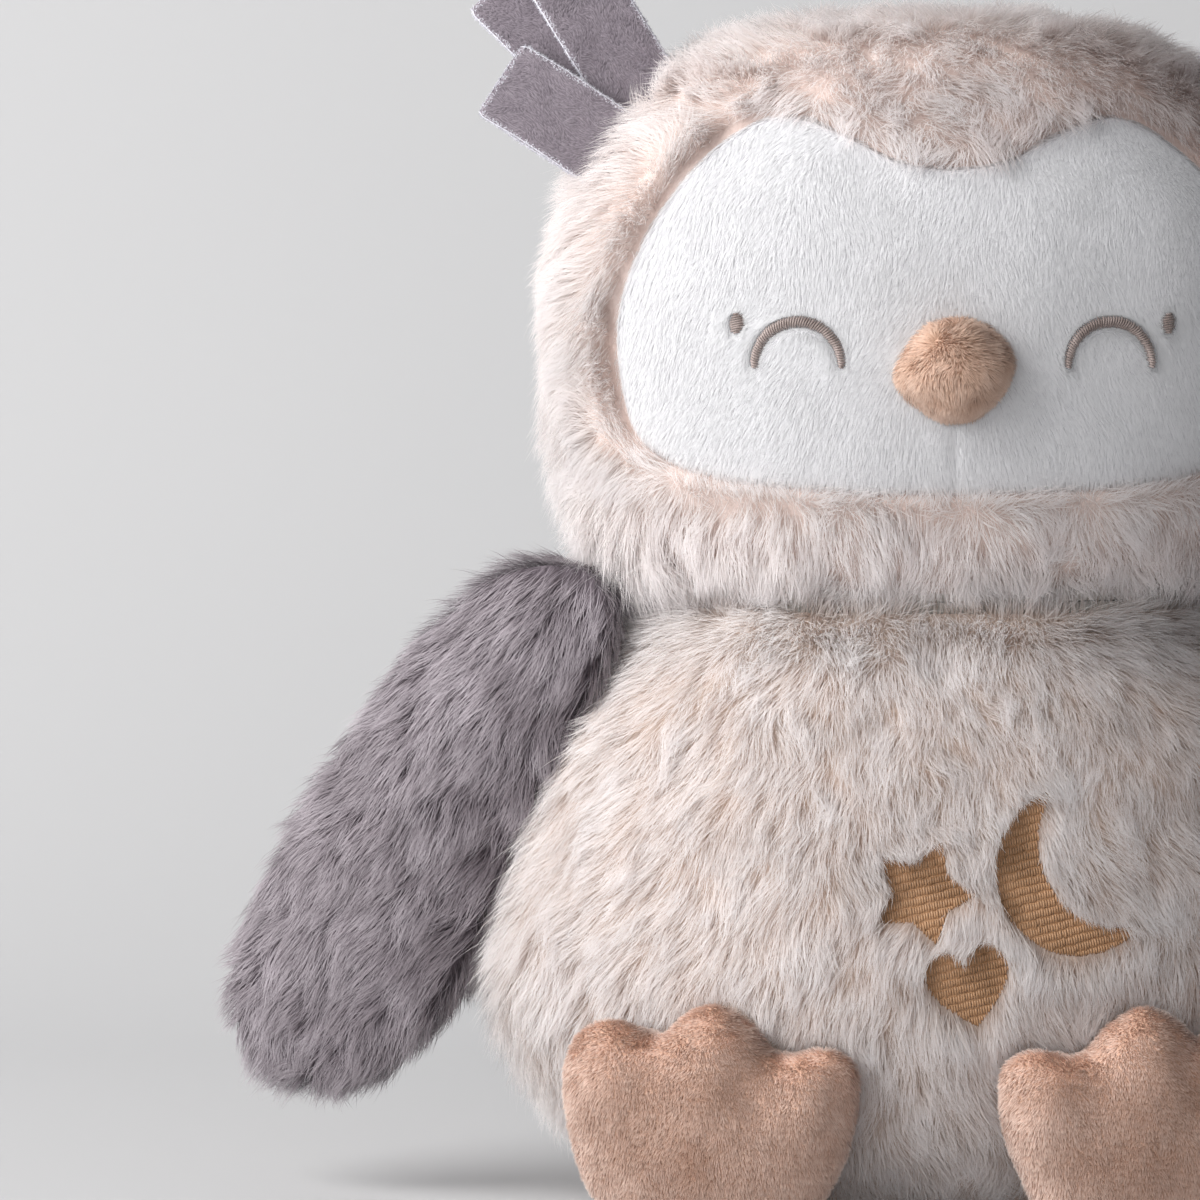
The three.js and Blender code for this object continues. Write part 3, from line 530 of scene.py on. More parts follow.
class Nodes:
    """A material under construction."""

    def __init__(self, name, roughness=0.85, sheen=0.0, sheen_roughness=0.5):
        self.material = bpy.data.materials.new(name)
        self.material.use_nodes = True
        self.tree = self.material.node_tree
        self.shader = self.tree.nodes["Principled BSDF"]
        self.shader.inputs["Roughness"].default_value = roughness
        self.shader.inputs["Specular IOR Level"].default_value = 0.25
        self.shader.inputs["Sheen Weight"].default_value = sheen
        self.shader.inputs["Sheen Roughness"].default_value = sheen_roughness

    def add(self, kind, **settings):
        node = self.tree.nodes.new(kind)
        for key, value in settings.items():
            setattr(node, key, value)
        return node

    def link(self, a, b):
        self.tree.links.new(a, b)

    def ramp(self, source, stops):
        node = self.add("ShaderNodeValToRGB")
        elements = node.color_ramp.elements
        while len(elements) < len(stops):
            elements.new(0.5)
        for element, (place, color) in zip(elements, stops):
            element.position = place
            element.color = srgb(color)
        self.link(source, node.inputs["Fac"])
        return node.outputs["Color"]

    def mix(self, factor, a, b):
        node = self.add("ShaderNodeMix", data_type="RGBA")
        self.link(factor, node.inputs["Factor"])
        self.link(a, node.inputs["A"])
        self.link(b, node.inputs["B"])
        return node.outputs["Result"]

    def span(self, source, low, high, to_low, to_high):
        node = self.add("ShaderNodeMapRange")
        for key, value in zip(("From Min", "From Max", "To Min", "To Max"), (low, high, to_low, to_high)):
            node.inputs[key].default_value = value
        self.link(source, node.inputs["Value"])
        return node.outputs["Result"]

    def noise(self, scale, detail=3.0, roughness=0.55):
        place = self.add("ShaderNodeTexCoord")
        node = self.add("ShaderNodeTexNoise")
        node.inputs["Scale"].default_value = scale
        node.inputs["Detail"].default_value = detail
        node.inputs["Roughness"].default_value = roughness
        self.link(place.outputs["Object"], node.inputs["Vector"])
        return node.outputs["Fac"]

    def bump(self, height, strength, distance):
        node = self.add("ShaderNodeBump")
        node.inputs["Strength"].default_value = strength
        node.inputs["Distance"].default_value = distance
        self.link(height, node.inputs["Height"])
        self.link(node.outputs["Normal"], self.shader.inputs["Normal"])

    def color(self, source):
        self.link(source, self.shader.inputs["Base Color"])

    def mottle(self, fine, broad, share, stops):
        """Colour from a fine and a broad noise. share is the fine one's."""
        both = self.add("ShaderNodeMath", operation="MULTIPLY_ADD")
        self.link(fine, both.inputs[0])
        both.inputs[1].default_value = share
        self.link(self.span(broad, 0.3, 0.7, 0.0, 1 - share), both.inputs[2])
        self.color(self.ramp(both.outputs["Value"], stops))

    def surface(self, share, first, second):
        """Two shaders as one. share is a number, or the output that gives it."""
        either = self.add("ShaderNodeMixShader")
        if isinstance(share, float):
            either.inputs["Fac"].default_value = share
        else:
            self.link(share, either.inputs["Fac"])
        self.link(first.outputs["BSDF"], either.inputs[1])
        self.link(second.outputs["BSDF"], either.inputs[2])
        self.link(either.outputs["Shader"], self.tree.nodes["Material Output"].inputs["Surface"])


def pile_material(name, dark, light, roughness=0.8, sheen=0.25, through=0.35):
    """Colour from root to tip, for the darkest and the lightest strands. The map holds tone and run."""
    m = Nodes(name, roughness, sheen)
    place = m.add("ShaderNodeUVMap", uv_map="OFBake")
    split = m.add("ShaderNodeSeparateXYZ")
    m.link(place.outputs["UV"], split.inputs["Vector"])
    along = split.outputs["Y"]
    color = m.mix(split.outputs["X"], m.ramp(along, dark), m.ramp(along, light))
    m.color(color)
    m.link(m.span(split.outputs["X"], 0, 1, roughness + 0.08, roughness - 0.12), m.shader.inputs["Roughness"])
    passing = m.add("ShaderNodeBsdfTranslucent")
    m.link(color, passing.inputs["Color"])
    m.surface(through, m.shader, passing)
    return m.material


def skin_material(name, low, high, scale=900.0):
    """Knitted backing between the roots of the pile."""
    m = Nodes(name, 0.95)
    fine = m.noise(scale, 4.0, 0.6)
    m.mottle(fine, m.noise(scale / 14, 3.0), 0.6, [(0.2, low), (0.75, high)])
    m.bump(fine, 0.6, 0.0006)
    return m.material


def thread_material(name, low, high, sheen=0.3, roughness=0.42):
    """Twisted shiny thread."""
    m = Nodes(name, roughness, sheen, 0.35)
    m.shader.inputs["Specular IOR Level"].default_value = 0.5
    fine = m.noise(1500.0, 2.0)
    m.mottle(fine, m.noise(120.0, 2.0), 0.5, [(0.2, low), (0.8, high)])
    m.bump(fine, 0.35, 0.00015)
    return m.material


BODY_PILE = pile_material(
    "body_pile",
    [(0.0, "#c6ab98"), (0.4, "#decfc5"), (0.75, "#ede6e4"), (1.0, "#f5f0f0")],
    [(0.0, "#e2d1c5"), (0.35, "#f5eeeb"), (0.7, "#fcfafa"), (1.0, "#fefdfe")], through=0.5)
HOOD_PILE = pile_material(
    "hood_pile",
    [(0.0, "#bfa9a1"), (0.4, "#d0bfba"), (0.75, "#e2d6d3"), (1.0, "#ece3e2")],
    [(0.0, "#eee4e0"), (0.35, "#f8f3f1"), (0.7, "#fdfafa"), (1.0, "#fffdfe")], through=0.5)
WING_PILE = pile_material(
    "wing_pile",
    [(0.0, "#423a3f"), (0.35, "#675d63"), (0.7, "#877d83"), (1.0, "#9d949a")],
    [(0.0, "#766c72"), (0.3, "#a69ca3"), (0.65, "#cac2c8"), (1.0, "#dcd5da")])
FACE_PILE = pile_material(
    "face_pile",
    [(0.0, "#ebebec"), (0.5, "#f1f1f2"), (1.0, "#f5f5f6")],
    [(0.0, "#f0f0f1"), (0.4, "#f7f7f8"), (1.0, "#fcfcfd")], 0.9, 0.1, 0.5)
FOOT_PILE = pile_material(
    "foot_pile",
    [(0.0, "#97715b"), (0.5, "#b7917c"), (1.0, "#caa794")],
    [(0.0, "#c9a490"), (0.4, "#efd0bf"), (1.0, "#fbeadf")], 0.75, 0.5, 0.3)
BEAK_PILE = pile_material(
    "beak_pile",
    [(0.0, "#a8836b"), (0.5, "#d0ac94"), (1.0, "#e4c4af")],
    [(0.0, "#cfa990"), (0.4, "#f0d1bb"), (1.0, "#fbe6d8")], 0.8, 0.3, 0.3)
EAR_PILE = pile_material(
    "ear_pile",
    [(0.0, "#5f5860"), (0.5, "#8a8189"), (1.0, "#999098")],
    [(0.0, "#8b828a"), (0.4, "#a79ea6"), (1.0, "#b9b1b9")], 0.85, 0.25, 0.2)
EDGE_PILE = pile_material(
    "ear_edge_pile",
    [(0.0, "#cfced6"), (1.0, "#e2e1ea")],
    [(0.0, "#e0dfe8"), (1.0, "#f6f6fa")], 0.85, 0.2, 0.2)
BODY_SKIN = skin_material("body_skin", "#ccb5a6", "#e4d6cc")
HOOD_SKIN = skin_material("hood_skin", "#c9b3aa", "#e0d0ca")
WING_SKIN = skin_material("wing_skin", "#5c5359", "#7b7279")
FACE_SKIN = skin_material("face_skin", "#d6d5d8", "#e4e3e6")
TAN_SKIN = skin_material("tan_skin", "#c49c85", "#dcbaa5", 1400.0)
EAR_SKIN = skin_material("ear_skin", "#756d75", "#918890", 1400.0)
EDGE_SKIN = skin_material("ear_edge_cloth", "#cbcad3", "#ecebf2", 1400.0)
BASE_CLOTH = skin_material("base_cloth", "#b9a999", "#d8ccc0", 700.0)
BELLY_THREAD = thread_material("belly_thread", "#84603f", "#b98f6a")
EYE_THREAD = thread_material("eye_thread", "#6c5d58", "#b0a09b", 0.6, 0.4)
FILLING = skin_material("filling_fibre", "#e4e1da", "#f4f2ec", 500.0)
LINING = skin_material("pellet_lining", "#c4bbae", "#ddd5ca", 2000.0)


# Body
def round_grid(form, rows, columns):
    """The backing's surface of a round form, and the share of its height of each row."""
    share = np.linspace(0, 1, rows)[:, None]
    angle = np.linspace(0, 2 * math.pi, columns, endpoint=False)[None, :]
    return round_points(form, share + 0 * angle, angle + 0 * share, BACKING), share


def body_grid(rows, columns):
    """The body's backing, uneven as stuffing makes it, and even round the figures."""
    grid, share = round_grid(BODY, rows, columns)
    lump = noise(grid, 26, 3) * 1.1 + noise(grid, 11, 4) * 0.5
    lump = lump * smooth(share, 0, 0.08) * smooth(1 - share, 0, 0.05)
    near = near_figures(grid)
    for outline in FIGURES.values():
        lump[near] *= smooth(-depth_inside(grid[near][:, [0, 2]], outline), 0.5, 7)
    grid = grid + grid_normals(grid, True) * lump[..., None]
    grid[..., 2] = np.maximum(grid[..., 2], 0.35)
    return grid


def make_base(ring):
    """The flat panel inside the body's lowest ring."""
    panel_ring = ring * np.array([0.86, 0.86, 0]) + np.array([0, 0, 0.6])
    rows = []
    for k in np.linspace(0.02, 1, 30):
        rows.append(panel_ring * np.array([k, k, 1]) + np.array([0, 0, 1.1 * (1 - smooth(k, 0.86, 1.0))]))
    grid = np.stack(rows)
    grid[..., 2] += 0.25 * noise(grid, 14, 20)
    grid[..., 2] = np.maximum(grid[..., 2], 0.3)
    base = add_mesh("base_cloth", "body", BASE_CLOTH, grid.reshape(-1, 3),
                    loft_faces(grid)[:, ::-1])
    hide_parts("base_panel")


def make_body():
    """The body's skin and pile, and its base."""
    skin = body_grid(72, 144)
    ring = skin[0]
    centre = ring.mean(0)
    rim = [centre + (ring - centre) * k for k in (0.86, 0.95)]
    grid = np.concatenate([np.stack(rim), skin])
    add_cover("body_skin", "body", BODY_SKIN, grid, ["body_cover"])
    rng = np.random.default_rng(11)
    surface = body_grid(150, 300)
    centre, normal = sample(surface, True, TUFTS["body"]["density"], rng, lambda points: (
        thin_behind(points) * (1 + 1.2 * by_figure(points) + 1.2 * smooth(points[..., 2], 118, 128))))
    n = len(centre)
    flow = np.stack([centre[:, 0] / 96 * 0.75, centre[:, 1] / 80 * 0.25, -np.ones(n)], 1)
    flow = flow + 0.5 * swirl(centre, 17, 5) * LESS_UPRIGHT
    flow = flow + 0.7 * swirl(centre, 6, 8) * LESS_UPRIGHT
    flow = flow + rng.normal(0, 0.1, (n, 3))
    collar = smooth(centre[:, 2] + 3 * noise(centre, 11, 19), 127, 132.5)[:, None]
    flow = flow * (1 - collar) + collar * np.array([0, 0, 1.0])
    flow, close = past_figures(centre, flow)
    low = smooth(28 - centre[:, 2], 0, 22)
    neck = smooth(centre[:, 2] + 4 * noise(centre, 9, 18), 118, 131)
    flank = smooth(np.abs(centre[:, 0]), 62, 88) * (1 - low) * smooth(95 - centre[:, 2], 0, 30)
    rise = 0.7 + 0.26 * noise(centre, 5, 12) + rng.normal(0, 0.1, n)
    rise = rise + 0.35 * close + 0.55 * neck + 0.15 * flank
    droop = 0.14 + 0.28 * noise(centre, 5, 13) + rng.normal(0, 0.12, n)
    droop = droop + 0.1 * low + 0.35 * close + 0.6 * neck
    length = 9.2 + 1.2 * noise(centre, 8, 14) + rng.normal(0, 0.9, n)
    length = length * (1 - 0.4 * low) * (1 - 0.35 * close)
    rise = rise + (0.95 - rise) * collar[:, 0]
    length = length + collar[:, 0] * (1.5 + 2.5 * noise(centre, 8, 17)) + 2.5 * flank
    # Painted light: the tone is lighter near the neck, against the shade that falls under the hood.
    tone = 0.66 + 0.16 * smooth(centre[:, 2], 112, 126) + 0.22 * noise(centre, 8, 15)
    tone = tone + 0.16 * noise(centre, 4, 16) + rng.normal(0, 0.05, n)
    pile = tufts(centre, normal, flow, rng, "body", length, rise, droop, tone)
    clear_of_figures(pile, rng)
    clear_of_feet(pile)
    tip = pile.path(3)[-1]
    pile.keep(tip[:, 2] > 0.6)
    in_sectors("body", BODY_PILE, pile)
    make_base(ring)


def between(path):
    """A path's points after its first, with the places half way between them."""
    return [p for a, b in zip(path[:-1], path[1:]) for p in ((a + b) / 2, b)]


def best_scale(pile, blocked, segments):
    """The longest share of each strand that stays clear, and zero where none does."""
    found = np.zeros(len(pile.root))
    for scale in (1.0, 0.85, 0.7, 0.55, 0.42, 0.3):
        open_ones = found == 0
        if not open_ones.any():
            break
        bad = blocked(pile.path(segments, np.full(len(pile.root), scale)))
        found = np.where(open_ones & ~bad, scale, found)
    return found


def shorten(pile, near, blocked, segments=3):
    """Shortens the strands in near until they stay clear, and drops those that can't."""
    scale = np.ones(len(pile.root))
    scale[near] = best_scale(part_of(pile, near), blocked, segments)
    pile.length = pile.length * scale
    pile.keep(scale > 0)


def by_figure(points):
    """One at the edges of the belly figures, and zero a few millimetres from them."""
    flat = points.reshape(-1, 3)
    near = near_figures(flat)
    close = np.zeros(len(flat))
    for outline in FIGURES.values():
        close[near] = np.maximum(close[near], smooth(depth_inside(flat[near][:, [0, 2]], outline), -5, -1))
    return close.reshape(points.shape[:-1])


def past_figures(centre, flow):
    """Combs the pile away from the figures close to them, and says how close each place is."""
    near = near_figures(centre)
    close = np.zeros(len(centre))
    for outline in FIGURES.values():
        depth, way = outward(centre[near][:, [0, 2]], outline)
        here = smooth(depth, -6, -0.5)
        across = np.sum(flow[near] * way, 1)
        flow[near] -= (here * np.where(across < 0, 0.5, 0.1) * across)[:, None] * way
        close[near] = np.maximum(close[near], here * smooth(-across, -0.5, 0.4))
    return flow, close


def clear_of_figures(pile, rng):
    """No strand is rooted in a figure, and those round it reach over its edge by a little only."""
    near = near_figures(pile.root)
    rooted = np.zeros(len(near), bool)
    for outline in FIGURES.values():
        depth, way = outward(pile.root[near][:, [0, 2]], outline)
        leaving = smooth(np.sum(pile.flow[near] * way, 1), 0.1, 0.5)
        rooted[near] |= depth > leaving - 0.1
    pile.keep(~rooted)
    near = near[~rooted]
    reach = np.abs(rng.normal(0.2, 0.7, np.count_nonzero(near)))

    def blocked(path):
        bad = np.zeros(path.shape[1], bool)
        for point in between(path):
            for outline in FIGURES.values():
                bad |= depth_inside(point[:, [0, 2]], outline) > reach
        return bad

    shorten(pile, near, blocked)


def foot_local(points, side):
    """Points in a foot's frame, mirrored so that its outer side is at -X."""
    return (points * np.array([-side, 1, 1]) - np.array(FOOT["pivot"])) @ turn_z(-FOOT["yaw"])


def clear_of_feet(pile):
    """Strands behind a foot are pressed short, and none runs through it."""
    for side in (-1, 1):
        near = (pile.root[:, 1] < 0) & (pile.root[:, 0] * side > 2) & (pile.root[:, 2] < 75)

        def blocked(path):
            bad = np.zeros(path.shape[1], bool)
            for point in path[1:]:
                p = foot_local(point, side)
                reach = FOOT_FIELD(p[:, 0], p[:, 2] - FOOT_Z)
                bad |= (reach > 0.3) & (np.abs(p[:, 1] - FOOT_Y) < reach + 0.8)
            return bad

        shorten(pile, near, blocked)


# Padded forms
def swelling(outline, thickness, step=0.6):
    """How far an inflated pad rises from its middle plane, as a function of the place in that plane."""
    low = outline.min(0) - 3
    size = np.ceil((outline.max(0) + 3 - low) / step).astype(int)
    gx, gy = np.meshgrid(*(low[k] + step * np.arange(size[k]) for k in (0, 1)), indexing="ij")
    depth = depth_inside(np.stack([gx.ravel(), gy.ravel()], 1), outline).reshape(gx.shape)
    inside = depth > 0
    field = np.where(inside, np.maximum(depth, 0) * 6, 0)
    for _ in range(1600):
        mean = (np.roll(field, 1, 0) + np.roll(field, -1, 0)
                + np.roll(field, 1, 1) + np.roll(field, -1, 1)) / 4
        field = np.where(inside, mean + step * step / 4, 0)
    high = np.sqrt(field)
    high = high / high.max() * thickness / 2

    def at(x, y):
        u = np.clip((x - low[0]) / step, 0, size[0] - 1.001)
        v = np.clip((y - low[1]) / step, 0, size[1] - 1.001)
        i, j = u.astype(int), v.astype(int)
        a, b = u - i, v - j
        return ((1 - a) * (1 - b) * high[i, j] + a * (1 - b) * high[i + 1, j]
                + (1 - a) * b * high[i, j + 1] + a * b * high[i + 1, j + 1])

    return at


def pad_grid(outline, field, rings, centre):
    """A pad's surface: rings from the centre of its front, round the seam, to the centre of its back."""
    outline = outline[::-1]
    rows = []
    for front in (True, False):
        shares = np.sin(np.linspace(0.001, 1, rings) * math.pi / 2)
        part = []
        for share in shares:
            p = centre + (outline - centre) * share
            high = field(p[:, 0], p[:, 1]) * (1 if share < 1 else 0)
            part.append(np.stack([p[:, 0], -high if front else high, p[:, 1]], 1))
        rows += part if front else part[::-1][1:]
    return np.stack(rows)


def foot_outline(count):
    """A foot's outline in its own plane."""
    shares = [(-a * FOOT["width"], u * FOOT["height"]) for a, u in FOOT["shares"]]
    return anticlockwise(spline(shares, True, count))


TOES = ((-21.5, 33.0, 8.0), (1.8, 37.5, 9.0), (24.5, 30.5, 7.5))  # place, height and width of their swellings
FOOT_Y = FOOT["press"] - FOOT["thickness"] / 2
FOOT_Z = FOOT["gap"] - FOOT["pivot"][2]
FOOT_OUTLINE = foot_outline(150)
FOOT_FIELD = swelling(FOOT_OUTLINE, FOOT["thickness"])


def foot_row(local, side):
    """From a foot's frame to the row's."""
    p = local @ turn_z(-FOOT["yaw"]).T + np.array(FOOT["pivot"])
    return p * FLIP if side > 0 else p


def keep_off_body(grid, gap):
    """Moves the back of a pad out of the belly."""
    flat = grid.reshape(-1, 3)
    limit = front_y(BODY, flat[:, 0], np.clip(flat[:, 2], 0, BODY["height"])) - gap
    flat[:, 1] = np.minimum(flat[:, 1], limit)
    return flat.reshape(grid.shape)


def make_foot(name, side):
    """A foot's skin, with swollen toes, and its short pile in fine rows."""
    grid = pad_grid(FOOT_OUTLINE, FOOT_FIELD, 34, np.array([0.0, 22.0]))
    front = smooth(-grid[..., 1], 1, 8) * smooth(grid[..., 2], 10, 34)
    swell = np.zeros_like(front)
    for x, z, wide in TOES:
        swell = swell + np.exp(-((grid[..., 0] - x) / wide) ** 2 - ((grid[..., 2] - z) / 15) ** 2)
    grid[..., 1] -= (3.0 * swell - 0.6) * front
    grid = grid + np.array([0, FOOT_Y, FOOT_Z])
    row = keep_off_body(foot_row(grid, side), 0.6)
    wrinkle = 0.22 * noise(row, 9, 31) + 0.12 * noise(row, 4, 32)
    row = row + grid_normals(row, True) * (wrinkle * (1 if side < 0 else -1))[..., None]
    add_cover(f"{name}_skin", name, TAN_SKIN, row, [f"{name}_cover"], side > 0)
    rng = np.random.default_rng(40 + side)
    centre, normal = sample(row, True, 15.0, rng)
    if side > 0:
        normal = -normal
    n = len(centre)
    flow = np.stack([0.25 * noise(centre, 14, 33), np.zeros(n), -np.ones(n)], 1)
    flow = flow + 0.5 * swirl(centre, 3.2, 34)
    rows = np.sin((centre[:, 2] + 0.12 * centre[:, 0] + 0.6 * noise(centre, 7, 28)) * 2 * math.pi / 1.5)
    clump = 0.7 * noise(centre, 1.3, 37) + 0.35 * rows
    # Painted sheen and shade: the tone below is lighter towards the pad's edges and darker where the pad is
    # thickest, as velvet looks under light. It is also darker where the pile faces up, on the tops of the
    # toes, as painted shade.
    local = foot_local(centre, side)
    thick = FOOT_FIELD(local[:, 0], local[:, 2] - FOOT_Z) / FOOT["thickness"] * 2
    up = np.maximum(normal[:, 2], 0)
    pile = Pile(centre - normal * 0.1, normal, flow, 1.45 + 0.3 * clump + rng.normal(0, 0.12, n),
                0.95 + 0.25 * noise(centre, 2.4, 38) + rng.normal(0, 0.12, n), 0.5 + rng.normal(0, 0.15, n),
                np.clip(0.95 - 0.62 * thick**2 + 0.2 * clump + 0.25 * noise(centre, 7, 39) - 0.2 * up
                        + rng.normal(0, 0.07, n), *TONES))
    pile_mesh(f"{name}_pile", name, FOOT_PILE, pile, 1, 0.26, soft=0.85)


# Wings
def wing_outline(count):
    """A wing's outline in its own plane."""
    outline = spline([(w * WING["width"], a * WING["length"]) for a, w in WING["shares"]], True, count)
    hanging = np.stack([WING["inset"] - outline[:, 0], WING["drop"] - outline[:, 1]], 1)
    return anticlockwise(turned(hanging, -WING["lean"]))


WING_OUTLINE = wing_outline(130)
WING_FIELD = swelling(WING_OUTLINE, WING["thickness"], 1.0)


def make_wing(name, side):
    """A wing's skin, pushed out of the body and the head, and its long pile."""
    inner = WING_OUTLINE - 1.9 * outward(WING_OUTLINE, WING_OUTLINE)[1][:, [0, 2]]
    grid = pad_grid(inner, lambda x, y: WING_FIELD(x, y) * 0.8, 40, WING_OUTLINE.mean(0))
    row = grid @ turn_z(-WING["yaw"]).T + np.array(WING["pivot"])
    middle_height = row[..., 2].mean()
    flat = row.reshape(-1, 3)
    for _ in range(14):
        hit = inside_form(BODY, flat, -2.0)
        flat = np.where(hit[:, None], flat + np.array([-1.0, -0.35, 0]), flat)
        hit = inside_form(HEAD, to_head(flat), -2.0)
        flat = np.where(hit[:, None], flat + np.array([-0.6, -0.2, -0.8]), flat)
    row = flat.reshape(row.shape)
    row = row + grid_normals(row, True) * (0.8 * noise(row, 15, 51))[..., None]
    if side > 0:
        row = row * FLIP
    add_cover(f"{name}_skin", name, WING_SKIN, row, [f"{name}_cover"], side > 0)
    rng = np.random.default_rng(60 + side)
    centre, normal = sample(row, True, TUFTS["wing"]["density"], rng)
    if side > 0:
        normal = -normal
    n = len(centre)
    lean = math.radians(WING["lean"])
    heights = np.linspace(row[..., 2].min(), row[..., 2].max(), 24)
    across = [row[np.abs(row[..., 2] - h) < 6][:, 0].mean() * -side for h in heights]
    line_x = lambda z: np.interp(z, heights, across)
    down = np.array([-math.sin(lean) * math.cos(math.radians(WING["yaw"])),
                     math.sin(lean) * math.sin(math.radians(WING["yaw"])), -math.cos(lean)])
    down = down * FLIP if side > 0 else down
    away = unit(centre - row.mean((0, 1)))
    above = smooth(centre[:, 2], 95, 135)
    shoulder = np.array(WING["pivot"]) + np.array([11.0, 8.0, 15.0])
    from_shoulder = unit(centre * np.array([-side, 1, 1]) - shoulder) * np.array([-side, 1, 1])
    flow = down + 0.12 * away * (1 - above)[:, None] + 1.6 * from_shoulder * above[:, None]
    flow = flow + 0.35 * swirl(centre, 13, 52)
    wild = (0.6 + 0.5 * smooth(60 - centre[:, 2], 0, 40))[:, None]
    flow = flow + wild * swirl(centre, 6, 55)
    inner_half = smooth((centre[:, 0] * -side) - line_x(centre[:, 2]), -6, 16)
    tip_end = smooth(38 - centre[:, 2], 0, 22)
    crown = smooth(centre[:, 2], 126, 138) * smooth(-side * centre[:, 0], -86, -72)
    rise = 0.72 + (0.22 + 0.12 * inner_half) * noise(centre, 6, 58) - 0.5 * crown + rng.normal(0, 0.08, n)
    droop = 0.12 + (0.26 + 0.16 * inner_half) * noise(centre, 6, 59) + rng.normal(0, 0.1, n)
    length = 8.8 + 1.1 * noise(centre, 8, 60) - 1.5 * crown + 2.6 * tip_end + rng.normal(0, 0.6, n)
    # Painted shade: the inner half, next to the body, is darker and has deeper dark gaps in its tone, where
    # shade falls.
    tone = 0.62 + (0.24 + 0.2 * inner_half) * noise(centre, 8, 61) + 0.22 * noise(centre, 4, 62)
    tone = tone - 0.16 * inner_half + rng.normal(0, 0.05, n)
    pile = tufts(centre, normal, flow, rng, "wing", length, rise, droop, tone)
    pile.keep(~inside_form(BODY, pile.root, -1.0) & ~inside_form(HEAD, to_head(pile.root), 1.0))
    quarter = (pile.root[:, 2] < middle_height).astype(int) + 2 * (pile.normal[:, 1] > 0).astype(int)
    in_pieces(f"{name}_pile", name, WING_PILE, pile, WING_STRAND_WIDTH, quarter)


# Head
def head_grid(rows, columns):
    """The head's backing, uneven as stuffing makes it, and even in the face."""
    grid, share = round_grid(HEAD, rows, columns)
    lump = noise(grid, 24, 71) + noise(grid, 10, 72) * 0.5
    lump = lump * smooth(-within_face(grid), 2, 10) * smooth(1 - share, 0, 0.04)
    return grid + grid_normals(grid, True) * lump[..., None]


def within_face(points):
    """How far points of the head are inside the face's outline."""
    flat = points.reshape(-1, 3)
    depth = np.where(flat[:, 1] < 0, depth_inside(flat[:, [0, 2]], FACE_OUTLINE), -99)
    return depth.reshape(points.shape[:-1])


def hood_sink(points):
    """How deep the hood's skin goes in under the face."""
    return 2.4 * smooth(within_face(points), -1.7, -0.1)


def face_grid(rings):
    """The face's skin, in the head's frame, from its centre to the seam."""
    outline = face_outline(260)
    middle = np.array([0.0, FACE["bottom"] + 0.47 * FACE["height"]])
    rows = []
    for share in np.linspace(0.01, 1.026, rings):
        p = middle + (outline - middle) * share
        within = depth_inside(p, outline)
        sink = FACE_LAYER + 2.1 * smooth(-within, -0.6, 1.2)
        sink = sink + 0.35 * np.exp(-(p[:, 0] / 1.1) ** 2) * smooth(BEAK["rise"] - p[:, 1], 0, 8)
        y = front_y(HEAD, p[:, 0], p[:, 1])
        rows.append(np.stack([p[:, 0], y, p[:, 1], sink], 1))
    grid = np.stack(rows)
    shape, sink = grid[..., :3], grid[..., 3]
    normal = grid_normals(shape, True)
    normal = np.where(normal[..., 1:2] > 0, -normal, normal)
    shape = shape - normal * sink[..., None]
    return shape + normal * (0.35 * noise(shape, 16, 73))[..., None]


